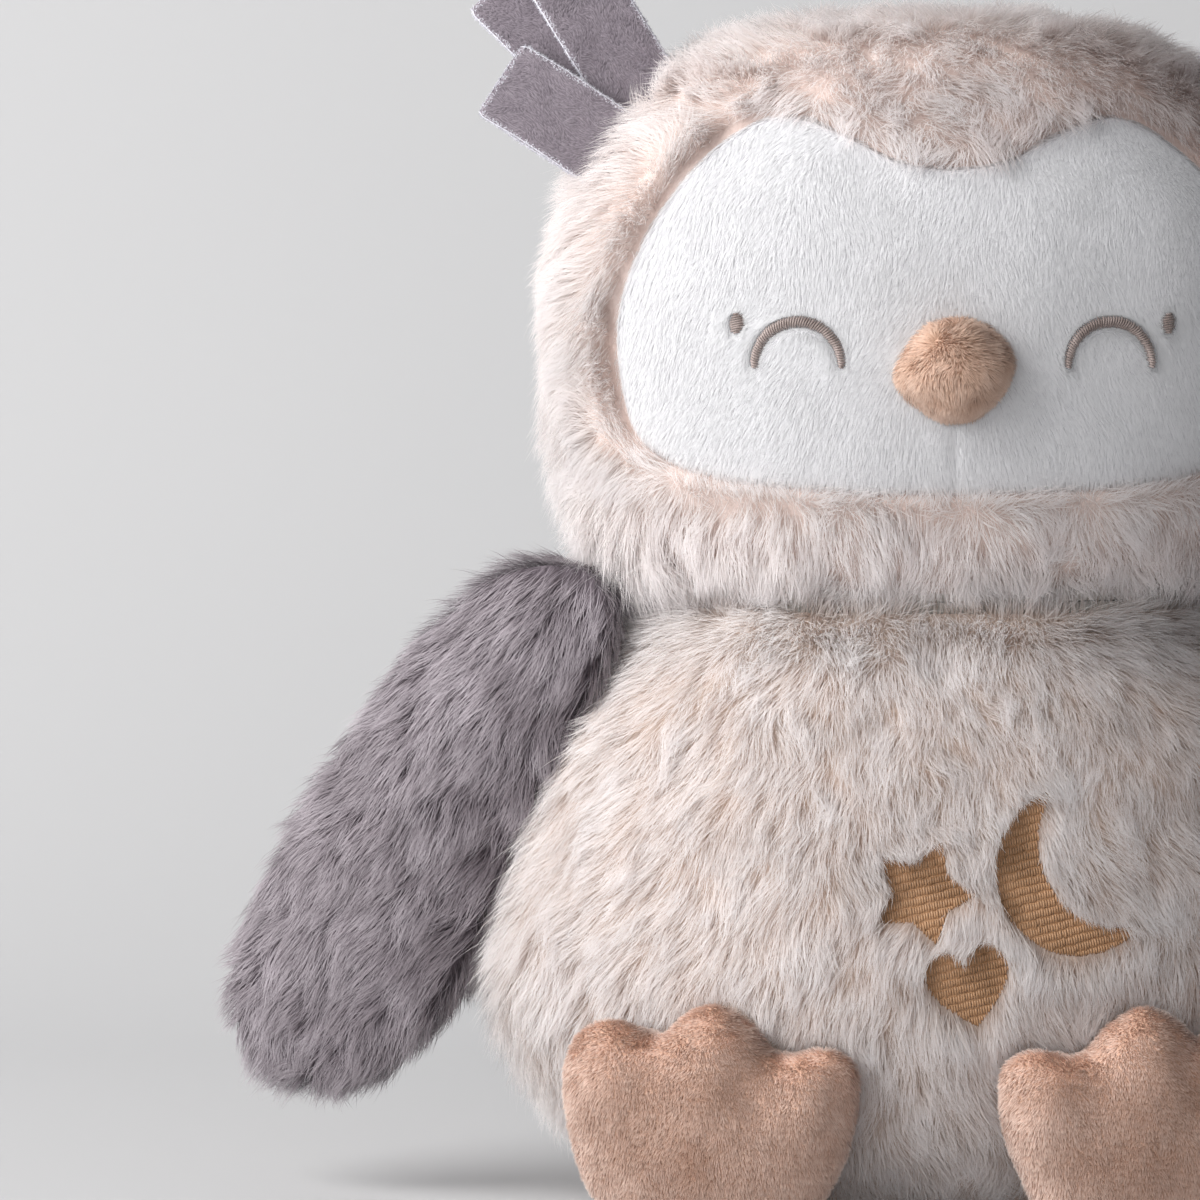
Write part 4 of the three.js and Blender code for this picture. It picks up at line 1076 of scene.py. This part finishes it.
def make_hood():
    """The hood's skin and its long pile."""
    grid = head_grid(120, 260)
    grid = grid - grid_normals(grid, True) * hood_sink(grid)[..., None]
    add_cover("hood_skin", "body", HOOD_SKIN, grid, ["head_hood"], on_head=True)
    rng = np.random.default_rng(80)
    surface = head_grid(170, 340)
    by_face = lambda points: thin_behind(points) * (1 + 1.6 * smooth(within_face(points), -3.5, -0.8))
    centre, normal = sample(surface, True, TUFTS["hood"]["density"], rng, by_face)
    within = within_face(centre)
    chosen = within < -0.2
    centre, normal, within = centre[chosen], normal[chosen], within[chosen]
    n = len(centre)
    _, out = outward(centre[:, [0, 2]], FACE_OUTLINE)
    top = smooth(centre[:, 2], 78, 94) * np.where(centre[:, 0] < 0, smooth(46 + centre[:, 0], -6, 12), 1)
    front = smooth(-centre[:, 1], 5, 35)
    wide = np.abs(centre[:, 0])
    crest = (np.maximum(top, smooth(centre[:, 2], 96, 112)) * smooth(66 - wide, 0, 24))[:, None]
    edge = smooth(-within, 0.5, 9)
    down = np.tile([0.0, 0.0, -1.0], (n, 1))
    forward = np.stack([0.4 * centre[:, 0] / 80, -0.7 * np.ones(n), -0.5 * np.ones(n)], 1)
    flow = (out * (1.1 - 0.5 * edge[:, None]) + down * 0.6) * (1 - crest)
    flow = flow + (forward * front[:, None] + down * 0.3) * crest
    flow = np.where((centre[:, 1] > 0)[:, None], down + 0.3 * out, flow)
    curl = 1 + 0.4 * crest
    rim = smooth(within, -7, -0.3) * (1 - top)
    near_rim = smooth(within, -10, -3.0) * (1 - top)
    neck = smooth(9 - centre[:, 2] + 3 * noise(centre, 8, 93), 0, 7)
    corner = smooth(wide, 46, 64) * smooth(26 - centre[:, 2], 0, 16) * smooth(10 - centre[:, 1], 0, 20)
    flow = flow * (1 - rim)[:, None] - rim[:, None] * out
    flow = flow * (1 - 0.9 * neck)[:, None]
    forwards = np.stack([0.6 * np.sign(centre[:, 0]), np.full(n, -1.8), np.full(n, -0.8)], 1)
    flow = flow + corner[:, None] * forwards
    hem = smooth(30 - centre[:, 2], 0, 16) * (1 - rim)
    curl = curl + 0.7 * hem[:, None]
    flow = flow + 0.6 * curl * swirl(centre, 12, 81)
    flow = flow + 0.6 * curl * swirl(centre, 5, 84)
    brow = top * (1 - edge)
    flank = smooth(wide, 52, 76) * smooth(62 - centre[:, 2], 0, 30)
    shoulder = smooth(wide, 26, 48) * smooth(centre[:, 2], 76, 94) * smooth(124 - centre[:, 2], 0, 14)
    full = np.maximum(flank, shoulder) * smooth(-within, 5, 16)
    rise = 0.85 + 0.25 * noise(centre, 6, 87) + 0.1 * crest[:, 0] - 0.35 * brow + 0.3 * full * (1 - corner)
    rise = rise * (1 - near_rim) + (1.25 - 0.4 * rim) * near_rim
    droop = 0.15 + 0.35 * noise(centre, 6, 88) + 0.12 * crest[:, 0] - 0.25 * brow + 0.25 * full + 0.3 * neck
    droop = droop * (1 - near_rim) + (0.95 - 0.35 * rim) * near_rim
    length = (7.8 + (1.1 + 1.3 * hem) * noise(centre, 7, 89)) * (0.85 + 0.15 * edge)
    length = length + 1.5 * smooth(within, -1.7, -0.2)
    rise = rise + (0.3 * neck + 0.3 * hem * noise(centre, 5, 94)) * (1 - corner)
    length = length * (1 - 0.35 * neck * (1 - corner)) + 3.0 * full + 5.0 * corner
    # Painted shade: the pile is darker towards the right side, most on the crown, where less light falls.
    painted_right_shade = 0.36 * smooth(centre[:, 0], -10, 60) * (0.3 + 0.7 * crest[:, 0])
    patch = 0.35 + 0.65 * smooth(centre[:, 0], -45, 10)
    # Painted light: the tone is lighter towards the hood's lower edge, which faces down into shade.
    tone = 0.86 + 0.08 * smooth(40 - centre[:, 2], 0, 20) - painted_right_shade + rng.normal(0, 0.05, n)
    tone = tone + patch * (0.18 * noise(centre, 9, 90) + 0.15 * noise(centre, 4.5, 91))
    pile = tufts(centre, normal, flow, rng, "hood", length, rise, droop, tone)
    pile.wave = pile.wave * 1.8
    low = smooth(34 - pile.root[:, 2], 0, 28) * (pile.root[:, 1] < 0)
    pile.shade = unit(pile.normal + 0.55 * low[:, None] * np.array([0, -0.2, 1.0]))
    pile.keep(within_face(pile.root) < -0.1)
    near = (pile.root[:, 1] < 0) & (depth_inside(pile.root[:, [0, 2]], FACE_OUTLINE) > -14)
    root = pile.root[near]
    peak = smooth(root[:, 0] + 44, 0, 14) * smooth(root[:, 2], 78, 90)
    reach = 0.7 + np.abs(rng.normal(0.3, 0.7, len(root))) + 4.5 * peak
    within = lambda points: depth_inside(points[:, [0, 2]], FACE_OUTLINE)
    shorten(pile, near, lambda path: np.any([within(p) > reach for p in between(path)], axis=0))
    pile.root = pile.root - pile.normal * hood_sink(pile.root)[:, None]
    in_head(pile)
    in_sectors("hood", HOOD_PILE, pile)


def make_face():
    """The face's skin and its short pile, combed down and away from the beak."""
    grid = face_grid(64)
    flat = to_row(grid.reshape(-1, 3))
    faces = loft_faces(grid)
    first, second, third = (flat[faces[:, k]] for k in range(3))
    fan = np.mean(np.cross(second - first, third - first)[:, 1])
    add_cover("face_skin", "body", FACE_SKIN, grid, ["face_left_panel", "face_right_panel"],
              fan >= 0, on_head=True)
    rng = np.random.default_rng(95)
    by_eyes = lambda points: 1 + 2.2 * smooth(
        1.8 - eye_distance(points.reshape(-1, 3)[:, [0, 2]]), 0, 1.2).reshape(points.shape[:-1])
    centre, normal = sample(grid, True, 11.0, rng, by_eyes)
    normal = np.where(normal[:, 1:2] > 0, -normal, normal)
    n = len(centre)
    beak = np.array([0.0, 0.0, BEAK["rise"]])
    away = unit((centre - beak) * np.array([1, 0, 1]))
    flow = np.array([0, 0, -0.9]) + 0.55 * away * smooth(BEAK["rise"] + 8 - centre[:, 2], -30, 20)[:, None]
    flow = flow + 0.35 * swirl(centre, 10, 96)
    flow = flow + 0.15 * swirl(centre, 3, 99)
    depth, out = outward(centre[:, [0, 2]], FACE_OUTLINE)
    flow = flow + 1.2 * smooth(-depth, -5, 0)[:, None] * out
    pile = Pile(centre, normal, flow, 2.5 + 0.3 * noise(centre, 4, 102) + rng.normal(0, 0.2, n),
                0.42 + 0.08 * noise(centre, 6, 103) + rng.normal(0, 0.07, n), 0.06 + rng.normal(0, 0.07, n),
                np.clip(0.65 + 0.15 * noise(centre, 7, 104) + rng.normal(0, 0.06, n), *TONES))
    flat = eye_place(pile, pile.root)
    here = eye_distance(flat)
    beside = smooth(1.7 - here, 0, 1.5)
    dx, dz = (eye_distance(flat + step) - here for step in (np.array([0.3, 0]), np.array([0, 0.3])))
    away = unit(np.stack([dx, 0 * dx, dz], 1))
    pile.flow = unit(pile.flow * (1 - 0.8 * beside[:, None]) - 0.5 * beside[:, None] * away)
    pile.rise = pile.rise + 0.9 * beside
    pile.droop = pile.droop + 0.95 * beside
    pile.length = pile.length * (1 - 0.5 * beside)
    clear_of_eyes(pile, rng)
    in_head(pile)
    halves = pile.root[:, 0] < 0
    for half, chosen in (("left", halves), ("right", ~halves)):
        pile_mesh(f"face_{half}_pile", "body", FACE_PILE, part_of(pile, chosen), 2, 0.13,
                  soft=0.97, roll=0.2)


def in_head(pile):
    """Moves a pile from the head's frame to the row's."""
    pile.root = to_row(pile.root)
    for key in ("normal", "flow", "pull", "shade"):
        setattr(pile, key, getattr(pile, key) @ HEAD_MATRIX.T)


def half_band(along):
    """Half the width of an eye's arch: along is 0 at its top, and 1 or -1 at its ends."""
    return (EYE["end"] + (EYE["band"] - EYE["end"]) * np.sqrt(1 - along**2)) / 2


def eye_distance(flat):
    """How far points of the face are outside the nearest band or dot of the eyes."""
    best = np.full(len(flat), 1e9)
    for side in (-1, 1):
        p = flat - np.array([side * EYE["spacing"] / 2, EYE["rise"]])
        r = np.linalg.norm(p, axis=1)
        a = np.abs(np.degrees(np.arctan2(p[:, 0], p[:, 1])))
        along = np.clip(a / (EYE["arch"] / 2), 0, 1)
        band = np.abs(r - EYE["radius"]) - half_band(along)
        past = np.maximum(a - EYE["arch"] / 2, 0) * math.pi / 180 * EYE["radius"]
        best = np.minimum(best, np.where(past > 0, np.hypot(np.maximum(band, 0), past), band))
        q = (flat - np.array([side * EYE["dot_spacing"] / 2, EYE["dot_rise"]])) * np.array([2.0, 2.0])
        q = q / np.array([EYE["dot_width"], EYE["dot_height"]])
        best = np.minimum(best, (np.linalg.norm(q, axis=1) - 1) * EYE["dot_width"] / 2)
    return best


def eye_place(pile, points):
    """Where points of a face pile lie in the plane in which the eyes are drawn."""
    rise = np.sum((points - pile.root) * pile.normal, 1)
    return (points + pile.normal * (FACE_LAYER - rise)[:, None])[:, [0, 2]]


def clear_of_eyes(pile, rng):
    """No strand is rooted in an eye, and none reaches over its stitches by more than a little."""
    pile.keep(eye_distance(eye_place(pile, pile.root)) > 0.0)
    near = eye_distance(eye_place(pile, pile.root)) < 5
    some = part_of(pile, near)
    reach = 0.05 - np.abs(rng.normal(0, 0.15, len(some.root)))
    blocked = lambda path: np.any([eye_distance(eye_place(some, p)) < reach for p in path[1:]], axis=0)
    shorten(pile, near, blocked, 2)


# Stitches: short lengths of thread that rise from the cloth and go back into it
def threads(name, material, starts, ends, lift, normals, radius):
    """One piece from many stitches. lift is how far each rises in its middle."""
    rings, sides = 7, 6
    n = len(starts)
    share = np.linspace(0, 1, rings)
    arch = np.sin(share * math.pi) ** 0.55
    ahead = unit(ends - starts)
    over = unit(normals - ahead * np.sum(ahead * normals, 1)[:, None])
    side = np.cross(ahead, over)
    points = []
    for k, s in enumerate(share):
        middle = starts + (ends - starts) * s + over * (lift * arch[k])[:, None]
        thick = radius * (0.75 if k in (0, rings - 1) else 1.0)
        for c in range(sides):
            a = 2 * math.pi * c / sides
            way = math.cos(a) * side + math.sin(a) * over
            points.append(middle + way * thick[:, None])
    stack = np.stack(points, 1).reshape(-1, 3)
    base = np.arange(n)[:, None, None] * rings * sides
    one = grid_faces(rings, sides, True)
    faces = (base + one[None]).reshape(-1, 4)
    caps = [np.arange(sides)[::-1], np.arange(sides) + (rings - 1) * sides]
    ends_faces = np.concatenate([(base[:, :, 0] + cap[None]) for cap in caps])
    piece = add_mesh(name, "body", material, stack, [faces[:, ::-1], ends_faces[:, ::-1]])
    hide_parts(name)


def front_surface(form, x, z, inset):
    """Places on a form's front and their normals."""
    step = 0.5
    y = front_y(form, x, z, inset)
    dx = np.stack([np.full_like(x, step), front_y(form, x + step, z, inset) - y, np.zeros_like(x)], 1)
    dz = np.stack([np.zeros_like(x), front_y(form, x, z + step, inset) - y, np.full_like(x, step)], 1)
    return np.stack([x, y, z], 1), unit(np.cross(dx, dz))


def body_surface(x, z):
    """Places on the belly's backing and their normals."""
    return front_surface(BODY, x, z, BACKING)


def fill_lines(outline, slant, pitch, length, stagger, overlap, rng):
    """Starts and ends of rows of stitches inside an outline. Each row is set off from the one before."""
    centre = outline.mean(0)
    local = turned(outline - centre, slant)
    starts, ends = [], []
    for index, x in enumerate(np.arange(local[:, 0].min() + 0.2, local[:, 0].max(), pitch)):
        a, b = local, np.roll(local, -1, axis=0)
        hit = (a[:, 0] > x) != (b[:, 0] > x)
        cuts = np.sort(a[hit, 1] + (x - a[hit, 0]) / (b[hit, 0] - a[hit, 0]) * (b[hit, 1] - a[hit, 1]))
        for low, high in zip(cuts[::2], cuts[1::2]):
            first = math.floor(low / length - index * stagger) + 1
            marks = (first + index * stagger + np.arange(200)) * length
            inner = marks[(marks > low + 0.7) & (marks < high - 0.7)]
            inner = inner + rng.normal(0, 0.09, len(inner))
            stops = np.concatenate([[low - overlap * rng.random()], inner, [high + overlap * rng.random()]])
            for s, e in zip(stops[:-1], stops[1:]):
                starts.append((x + rng.normal(0, 0.03), s))
                ends.append((x + rng.normal(0, 0.03), e))
    return turned(np.array(starts), -slant) + centre, turned(np.array(ends), -slant) + centre


def fill_stitches(name, outline, seed):
    """Upright stitches over a first layer that lies across them."""
    rng = np.random.default_rng(seed)
    below = fill_lines(outline, slant=80.0, pitch=0.4, length=9.0, stagger=0.3, overlap=-0.3, rng=rng)
    above = fill_lines(outline, slant=-7.0, pitch=0.54, length=1.75, stagger=0.035, overlap=0.25, rng=rng)
    starts, ends = (np.concatenate(pair) for pair in zip(below, above))
    top = np.concatenate([np.zeros(len(below[0])), np.ones(len(above[0]))])
    run = np.linalg.norm(ends - starts, axis=1)
    p, n0 = body_surface(*starts.T)
    q, _ = body_surface(*ends.T)
    lift = top * (0.26 + 0.1 * np.minimum(run, 2)) + (1 - top) * 0.08
    threads(name, BELLY_THREAD, p, q, lift, n0, 0.27 + rng.normal(0, 0.012, len(p)))


def face_surface(x, z, inset):
    """Places on the face in the row's frame, and their normals. x and z are in the head's frame."""
    place, normal = front_surface(HEAD, x, z, 0.0)
    return to_row(place - normal * inset), normal @ HEAD_MATRIX.T


def satin(name, middle, across, height, seed):
    """Satin stitches over three lines of thread.

    middle is a run of points, and across is half a stitch at each."""
    rng = np.random.default_rng(seed)
    a = middle - across * (1 + rng.normal(0, 0.07, (len(middle), 1)))
    b = middle + across * (1 + rng.normal(0, 0.07, (len(middle), 1)))
    p, n0 = face_surface(a[:, 0], a[:, 1], FACE_LAYER)
    q, _ = face_surface(b[:, 0], b[:, 1], FACE_LAYER)
    lift = np.full(len(p), height)
    for share in (-0.4, 0.0, 0.4):
        line = middle + across * share
        u, n1 = face_surface(line[:-1, 0], line[:-1, 1], FACE_LAYER - height + 0.5)
        v, _ = face_surface(line[1:, 0], line[1:, 1], FACE_LAYER - height + 0.5)
        p, q, n0 = np.concatenate([p, u]), np.concatenate([q, v]), np.concatenate([n0, n1])
        lift = np.concatenate([lift, np.zeros(len(u))])
    threads(name, EYE_THREAD, p, q, lift, n0, 0.225 + rng.normal(0, 0.012, len(p)))


def make_eyes():
    """An arch and a dot for each eye."""
    for side, label in ((-1, "left"), (1, "right")):
        share = np.linspace(-1, 1, 56)
        angle = np.radians(share * EYE["arch"] / 2)
        way = np.stack([np.sin(angle), np.cos(angle)], 1)
        half = half_band(share)
        centre = np.array([side * EYE["spacing"] / 2, EYE["rise"]])
        slant = np.stack([way[:, 1], -way[:, 0]], 1) * 0.28
        satin(f"eye_{label}_arch", centre + way * EYE["radius"], (way + slant) * half[:, None], 1.3,
              110 + side)
        rows = np.linspace(-0.9, 0.9, 9)
        centre = np.array([side * EYE["dot_spacing"] / 2, EYE["dot_rise"]])
        middle = centre + np.stack([0 * rows, rows * EYE["dot_height"] / 2], 1)
        reach = EYE["dot_width"] / 2 * np.sqrt(1 - rows**2)
        across = np.stack([reach + 0.25, 0.25 * reach], 1)
        satin(f"eye_{label}_dot", middle, across, 1.2, 120 + side)


def make_beak():
    """The beak's skin, a pad that stands out of the face, and its pile."""
    outline = spline([(a * BEAK["width"], u * BEAK["height"]) for a, u in BEAK["shares"]], True, 120)
    outline = anticlockwise(turned(outline, BEAK["turn"]))[::-1]
    front = -front_y(HEAD, np.array([0.0]), np.array([BEAK["rise"]]))[0] - FACE["sink"]
    rows = []
    for angle in np.linspace(0.0005, 0.62, 60) * math.pi:
        spread = math.sin(angle) ** 0.8
        depth = -(BEAK["length"] / 2 - 0.9) * math.cos(angle)
        p = outline * spread * 0.95
        rows.append(np.stack([p[:, 0], np.full(len(p), depth), p[:, 1]], 1))
    grid = np.stack(rows) + np.array([0, BEAK["spread"] - front, BEAK["rise"]])
    grid = grid + grid_normals(grid, True) * (0.3 * noise(grid, 6, 130))[..., None]
    add_cover("beak_skin", "body", TAN_SKIN, grid, ["beak"], on_head=True)
    rng = np.random.default_rng(131)
    centre, normal = sample(grid, True, 16.0, rng)
    n = len(centre)
    away = unit((centre - np.array([0.0, 0.0, BEAK["rise"]])) * np.array([1, 0, 1]))
    flow = np.array([0.25, 0.1, -0.9]) + 0.5 * away
    flow = flow + 0.7 * swirl(centre, 2.8, 132)
    pile = Pile(centre, normal, flow, 2.4 + 0.3 * noise(centre, 2.5, 135) + rng.normal(0, 0.25, n),
                0.95 + 0.2 * noise(centre, 2.5, 136) + rng.normal(0, 0.12, n),
                0.45 + rng.normal(0, 0.12, n),
                np.clip(0.5 + 0.3 * noise(centre, 2.2, 137) + rng.normal(0, 0.12, n), *TONES))
    in_head(pile)
    pile_mesh("beak_pile", "body", BEAK_PILE, pile, 2, 0.16, soft=0.82)


# Ears
PLY, PLY_OFFSET = 1.25, 0.78  # thickness of one ply, and how far it lies from the fold's middle
STRIP_ROWS, STRIP_SIDES = 30, 40
END_STRANDS = 260


def ear_matrix(side):
    """The turn and place of an ear in the head's frame."""
    seat = abs(round_side(EAR["rise"], EAR["forward"]))
    turn = turn_y(-EAR["lean"])
    place = np.array([-seat, -EAR["forward"], EAR["rise"]])
    if side > 0:
        flip = np.diag(FLIP)
        return flip @ turn @ flip, place * FLIP
    return turn, place


def round_side(z, forward):
    """Half the head's width at a height and a distance forward."""
    _, half, front, _ = section(HEAD, height_share(HEAD, z, 0.0), 0.0)
    return half * (1 - (forward / front) ** HEAD["square"]) ** (1 / HEAD["square"])


def strip_points(length, fan, offset, place, layer_y, seed):
    """A closed band of one ply, bent backwards, in the ear's frame."""
    run = np.linspace(EAR["trim"] / length, 1, STRIP_ROWS)
    bend = length * run / EAR["bend"]
    line_y = EAR["bend"] * (1 - np.cos(bend))
    line_z = EAR["bend"] * np.sin(bend) - EAR["root"]
    a = np.linspace(0, 2 * math.pi, STRIP_SIDES, endpoint=False)
    px = signed_power(np.cos(a), 8.0) * (EAR["width"] - 0.8) / 2
    py = signed_power(np.sin(a), 3.0) * PLY / 2
    grid = np.zeros((STRIP_ROWS, STRIP_SIDES, 3))
    sway = 0.5 * noise(np.stack([run * 3, run * 0 + place, run * 0], 1), 1.0, seed)
    for r in range(STRIP_ROWS):
        end = 1 - 0.06 * smooth(run[r], 0.97, 1.0)
        grid[r, :, 0] = px * end + sway[r] * 0.6
        grid[r, :, 1] = line_y[r] + (py + layer_y) * math.cos(bend[r])
        grid[r, :, 2] = line_z[r] - (py + layer_y) * math.sin(bend[r])
    return grid @ turn_y(fan).T + np.array([offset * EAR["width"], (place - 1) * EAR["pitch"], 0])


def strip_cloth(name, label, grids, side):
    """Both plies of a strip as one piece, with pale edges."""
    count = STRIP_ROWS * STRIP_SIDES
    faces = grid_faces(STRIP_ROWS, STRIP_SIDES, True)
    cap = np.arange(STRIP_SIDES)[None]
    ends = np.concatenate([cap[:, ::-1], cap + count - STRIP_SIDES])
    faces, ends = (np.concatenate([part, part + count]) for part in (faces, ends))
    if side > 0:
        faces, ends = faces[:, ::-1], ends[:, ::-1]
    edge_columns = (0, 1, 2, 17, 18, 19, 20, 21, 22, 37, 38, 39)
    wall = np.isin(cap[0], edge_columns)
    pale = np.concatenate([np.tile(wall, 2 * (STRIP_ROWS - 1)), np.ones(4, bool)])
    points = np.concatenate([g.reshape(-1, 3) for g in grids])
    strip = add_mesh(f"{name}_{label}_cloth", name, EAR_SKIN, to_row(points), [faces, ends],
                     second=(EDGE_SKIN, pale))
    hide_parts(f"{name}_{label}_strip")


def ply_roots(grid, other, side, rng):
    """Where the short pile of one ply grows: on its broad outer face, and at its edges."""
    centre, normal = sample(grid, True, 8.0, rng)
    if side > 0:
        normal = -normal
    along = unit(grid[-1].mean(0) - grid[0].mean(0))
    across = unit(grid[15, 0] - grid[15, 20])
    face_way = np.cross(along, across)
    flatness = np.abs(normal @ face_way)
    rim = np.abs((centre - grid.mean((0, 1))) @ across) > EAR["width"] / 2 - 1.3
    rim |= (grid[-1].mean(0) - centre) @ along < 1.1
    scalp = inside_form(HEAD, centre, -2.5)
    away = 1 if face_way @ (other.mean((0, 1)) - grid.mean((0, 1))) < 0 else -1
    broad = (flatness > 0.75) & ~rim & ~scalp & ((normal @ face_way) * away > 0)
    edge = (rim | (flatness <= 0.75)) & ~scalp
    return (centre[broad], normal[broad], along), (centre[edge], normal[edge])


def end_roots(grids, rng):
    """Where the short pile grows on the cut ends of both plies."""
    places, ways = [], []
    for grid in grids:
        along = unit(grid[-1].mean(0) - grid[-3].mean(0))
        a, b = rng.integers(0, STRIP_SIDES, END_STRANDS), rng.random(END_STRANDS)[:, None]
        places.append(grid[-1][a] * b + grid[-1][(20 - a) % STRIP_SIDES] * (1 - b))
        ways.append(np.tile(along, (END_STRANDS, 1)) + 0.35 * rng.normal(0, 1, (END_STRANDS, 3)))
    return np.concatenate(places), unit(np.concatenate(ways))


def make_ear(name, side):
    """Three folded strips, one behind the other, with their short pile and pale edges."""
    turn, seat = ear_matrix(side)
    mirror = FLIP if side > 0 else np.ones(3)
    rng = np.random.default_rng(150 + side)
    piles, edges = [], []
    for place, (label, length, fan, offset) in enumerate(EAR["strips"]):
        bands = [strip_points(length, fan, offset, place, layer_y, 151 + 7 * place + ply)
                 for ply, layer_y in enumerate((-PLY_OFFSET, PLY_OFFSET))]
        grids = [(band * mirror) @ turn.T + seat for band in bands]
        strip_cloth(name, label, grids, side)
        for grid, other in (grids, grids[::-1]):
            (centre, normal, along), edge = ply_roots(grid, other, side, rng)
            n = len(centre)
            piles.append((centre, normal, np.tile(along, (n, 1)), np.full(n, place)))
            edges.append(edge)
        edges.append(end_roots(grids, rng))
    centre, normal, along, behind = (np.concatenate(part) for part in zip(*piles))
    n = len(centre)
    flow = along * 0.5 + 0.7 * swirl(centre, 3, 160)
    # Painted shade: the strips further back are darker, as the ones in front shade them.
    tone = 0.55 - 0.2 * behind + 0.25 * noise(centre, 2, 163)
    pile = Pile(centre, normal, flow, 1.25 + rng.normal(0, 0.15, n), 0.75 + rng.normal(0, 0.2, n),
                0.3 + rng.normal(0, 0.2, n), np.clip(tone + rng.normal(0, 0.15, n), *TONES))
    in_head(pile)
    pile_mesh(f"{name}_pile", name, EAR_PILE, pile, 1, 0.24)
    centre, normal = (np.concatenate(part) for part in zip(*edges))
    n = len(centre)
    pile = Pile(centre, normal, rng.normal(0, 1, (n, 3)), 0.62 + rng.normal(0, 0.12, n),
                0.9 + rng.normal(0, 0.3, n), 0.4 + rng.normal(0, 0.4, n),
                np.clip(0.5 + rng.normal(0, 0.2, n), *TONES))
    in_head(pile)
    pile_mesh(f"{name}_edge", name, EDGE_PILE, pile, 1, 0.24, soft=0.5)


# Stage, light and camera
def make_stage():
    """A floor that curves up into a wall, which shows from its front side only."""
    near, far, radius, top, half = -3.0, 0.25, 0.6, 3.0, 3.5  # metres
    profile = [(near, 0.0), (far, 0.0)]
    for a in np.linspace(0, math.pi / 2, 24)[1:]:
        profile.append((far + radius * math.sin(a), radius * (1 - math.cos(a))))
    profile.append((far + radius, top))
    rows = [(x, y, z) for y, z in profile for x in (-half, half)]
    m = Nodes("stage_paper", 0.9)
    m.color(m.ramp(m.noise(2.0, 2.0), [(0.3, "#c5c5c6"), (0.7, "#c7c7c8")]))
    behind = m.add("ShaderNodeNewGeometry").outputs["Backfacing"]
    m.surface(behind, m.shader, m.add("ShaderNodeBsdfTransparent"))
    mesh = bpy.data.meshes.new("stage")
    mesh.from_pydata(rows, [], grid_faces(len(profile), 2, False).tolist())
    for polygon in mesh.polygons:
        polygon.use_smooth = True
    mesh.materials.append(m.material)
    stage = bpy.data.objects.new("stage", mesh)
    SCENE.collection.objects.link(stage)


def add_light(name, place, aim, size, power, color):
    """A square lamp. Places and size are in metres, power in watts."""
    light = bpy.data.lights.new(name, "AREA")
    light.shape = "RECTANGLE"
    light.size = light.size_y = size
    light.energy = power
    light.color = color
    lamp = bpy.data.objects.new(name, light)
    lamp.location = place
    lamp.rotation_euler = (Vector(aim) - Vector(place)).to_track_quat("-Z", "Y").to_euler()
    SCENE.collection.objects.link(lamp)


def make_light():
    """Two lamps, and a world that looks paler than the light it gives."""
    add_light("key", (-1.3, -0.75, 0.95), (0, 0, 0.13), 1.6, 48.0, (1.0, 0.99, 0.98))
    add_light("fill", (-0.4, -1.7, 0.28), (0, 0, 0.12), 1.4, 10.0, (1.0, 0.99, 0.985))
    world = bpy.data.worlds.new("studio")
    world.use_nodes = True
    SCENE.world = world
    ground = world.node_tree.nodes["Background"]
    ground.inputs["Color"].default_value = (0.95, 0.97, 1.0, 1.0)
    path = world.node_tree.nodes.new("ShaderNodeLightPath")
    strength = world.node_tree.nodes.new("ShaderNodeMapRange")
    on_owl, in_view = 0.25, 0.62
    strength.inputs["To Min"].default_value = on_owl
    strength.inputs["To Max"].default_value = in_view
    world.node_tree.links.new(path.outputs["Is Camera Ray"], strength.inputs["Value"])
    world.node_tree.links.new(strength.outputs["Result"], ground.inputs["Strength"])


def make_camera():
    """The photograph's viewing angle."""
    data = bpy.data.cameras.new("camera")
    sensor, distance, frame_width = 36.0, 1.4018, 0.264
    data.sensor_width = sensor
    data.lens = sensor * distance / frame_width
    camera = bpy.data.objects.new("camera", data)
    camera.location = (0.0, -1.39808, 0.20527)
    aim = Vector((-0.0726, 0.0, 0.132))
    camera.rotation_euler = (aim - camera.location).to_track_quat("-Z", "Y").to_euler()
    SCENE.collection.objects.link(camera)
    SCENE.camera = camera


SCENE.view_settings.view_transform = "Standard"
for node_name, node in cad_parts.items():
    if node_name.endswith("_filling") or node_name == "pellet_bag":
        node.data.materials.clear()
        node.data.materials.append(LINING if node_name == "pellet_bag" else FILLING)

make_body()
for name, outline in FIGURES.items():
    fill_stitches(name, outline, 170 + len(name))
for name, side in (("foot_left", -1), ("foot_right", 1)):
    make_foot(name, side)
for name, side in (("wing_left", -1), ("wing_right", 1)):
    make_wing(name, side)
make_hood()
make_face()
make_eyes()
make_beak()
for name, side in (("ear_left", -1), ("ear_right", 1)):
    make_ear(name, side)
make_stage()
make_light()
make_camera()
bpy.context.view_layer.update()
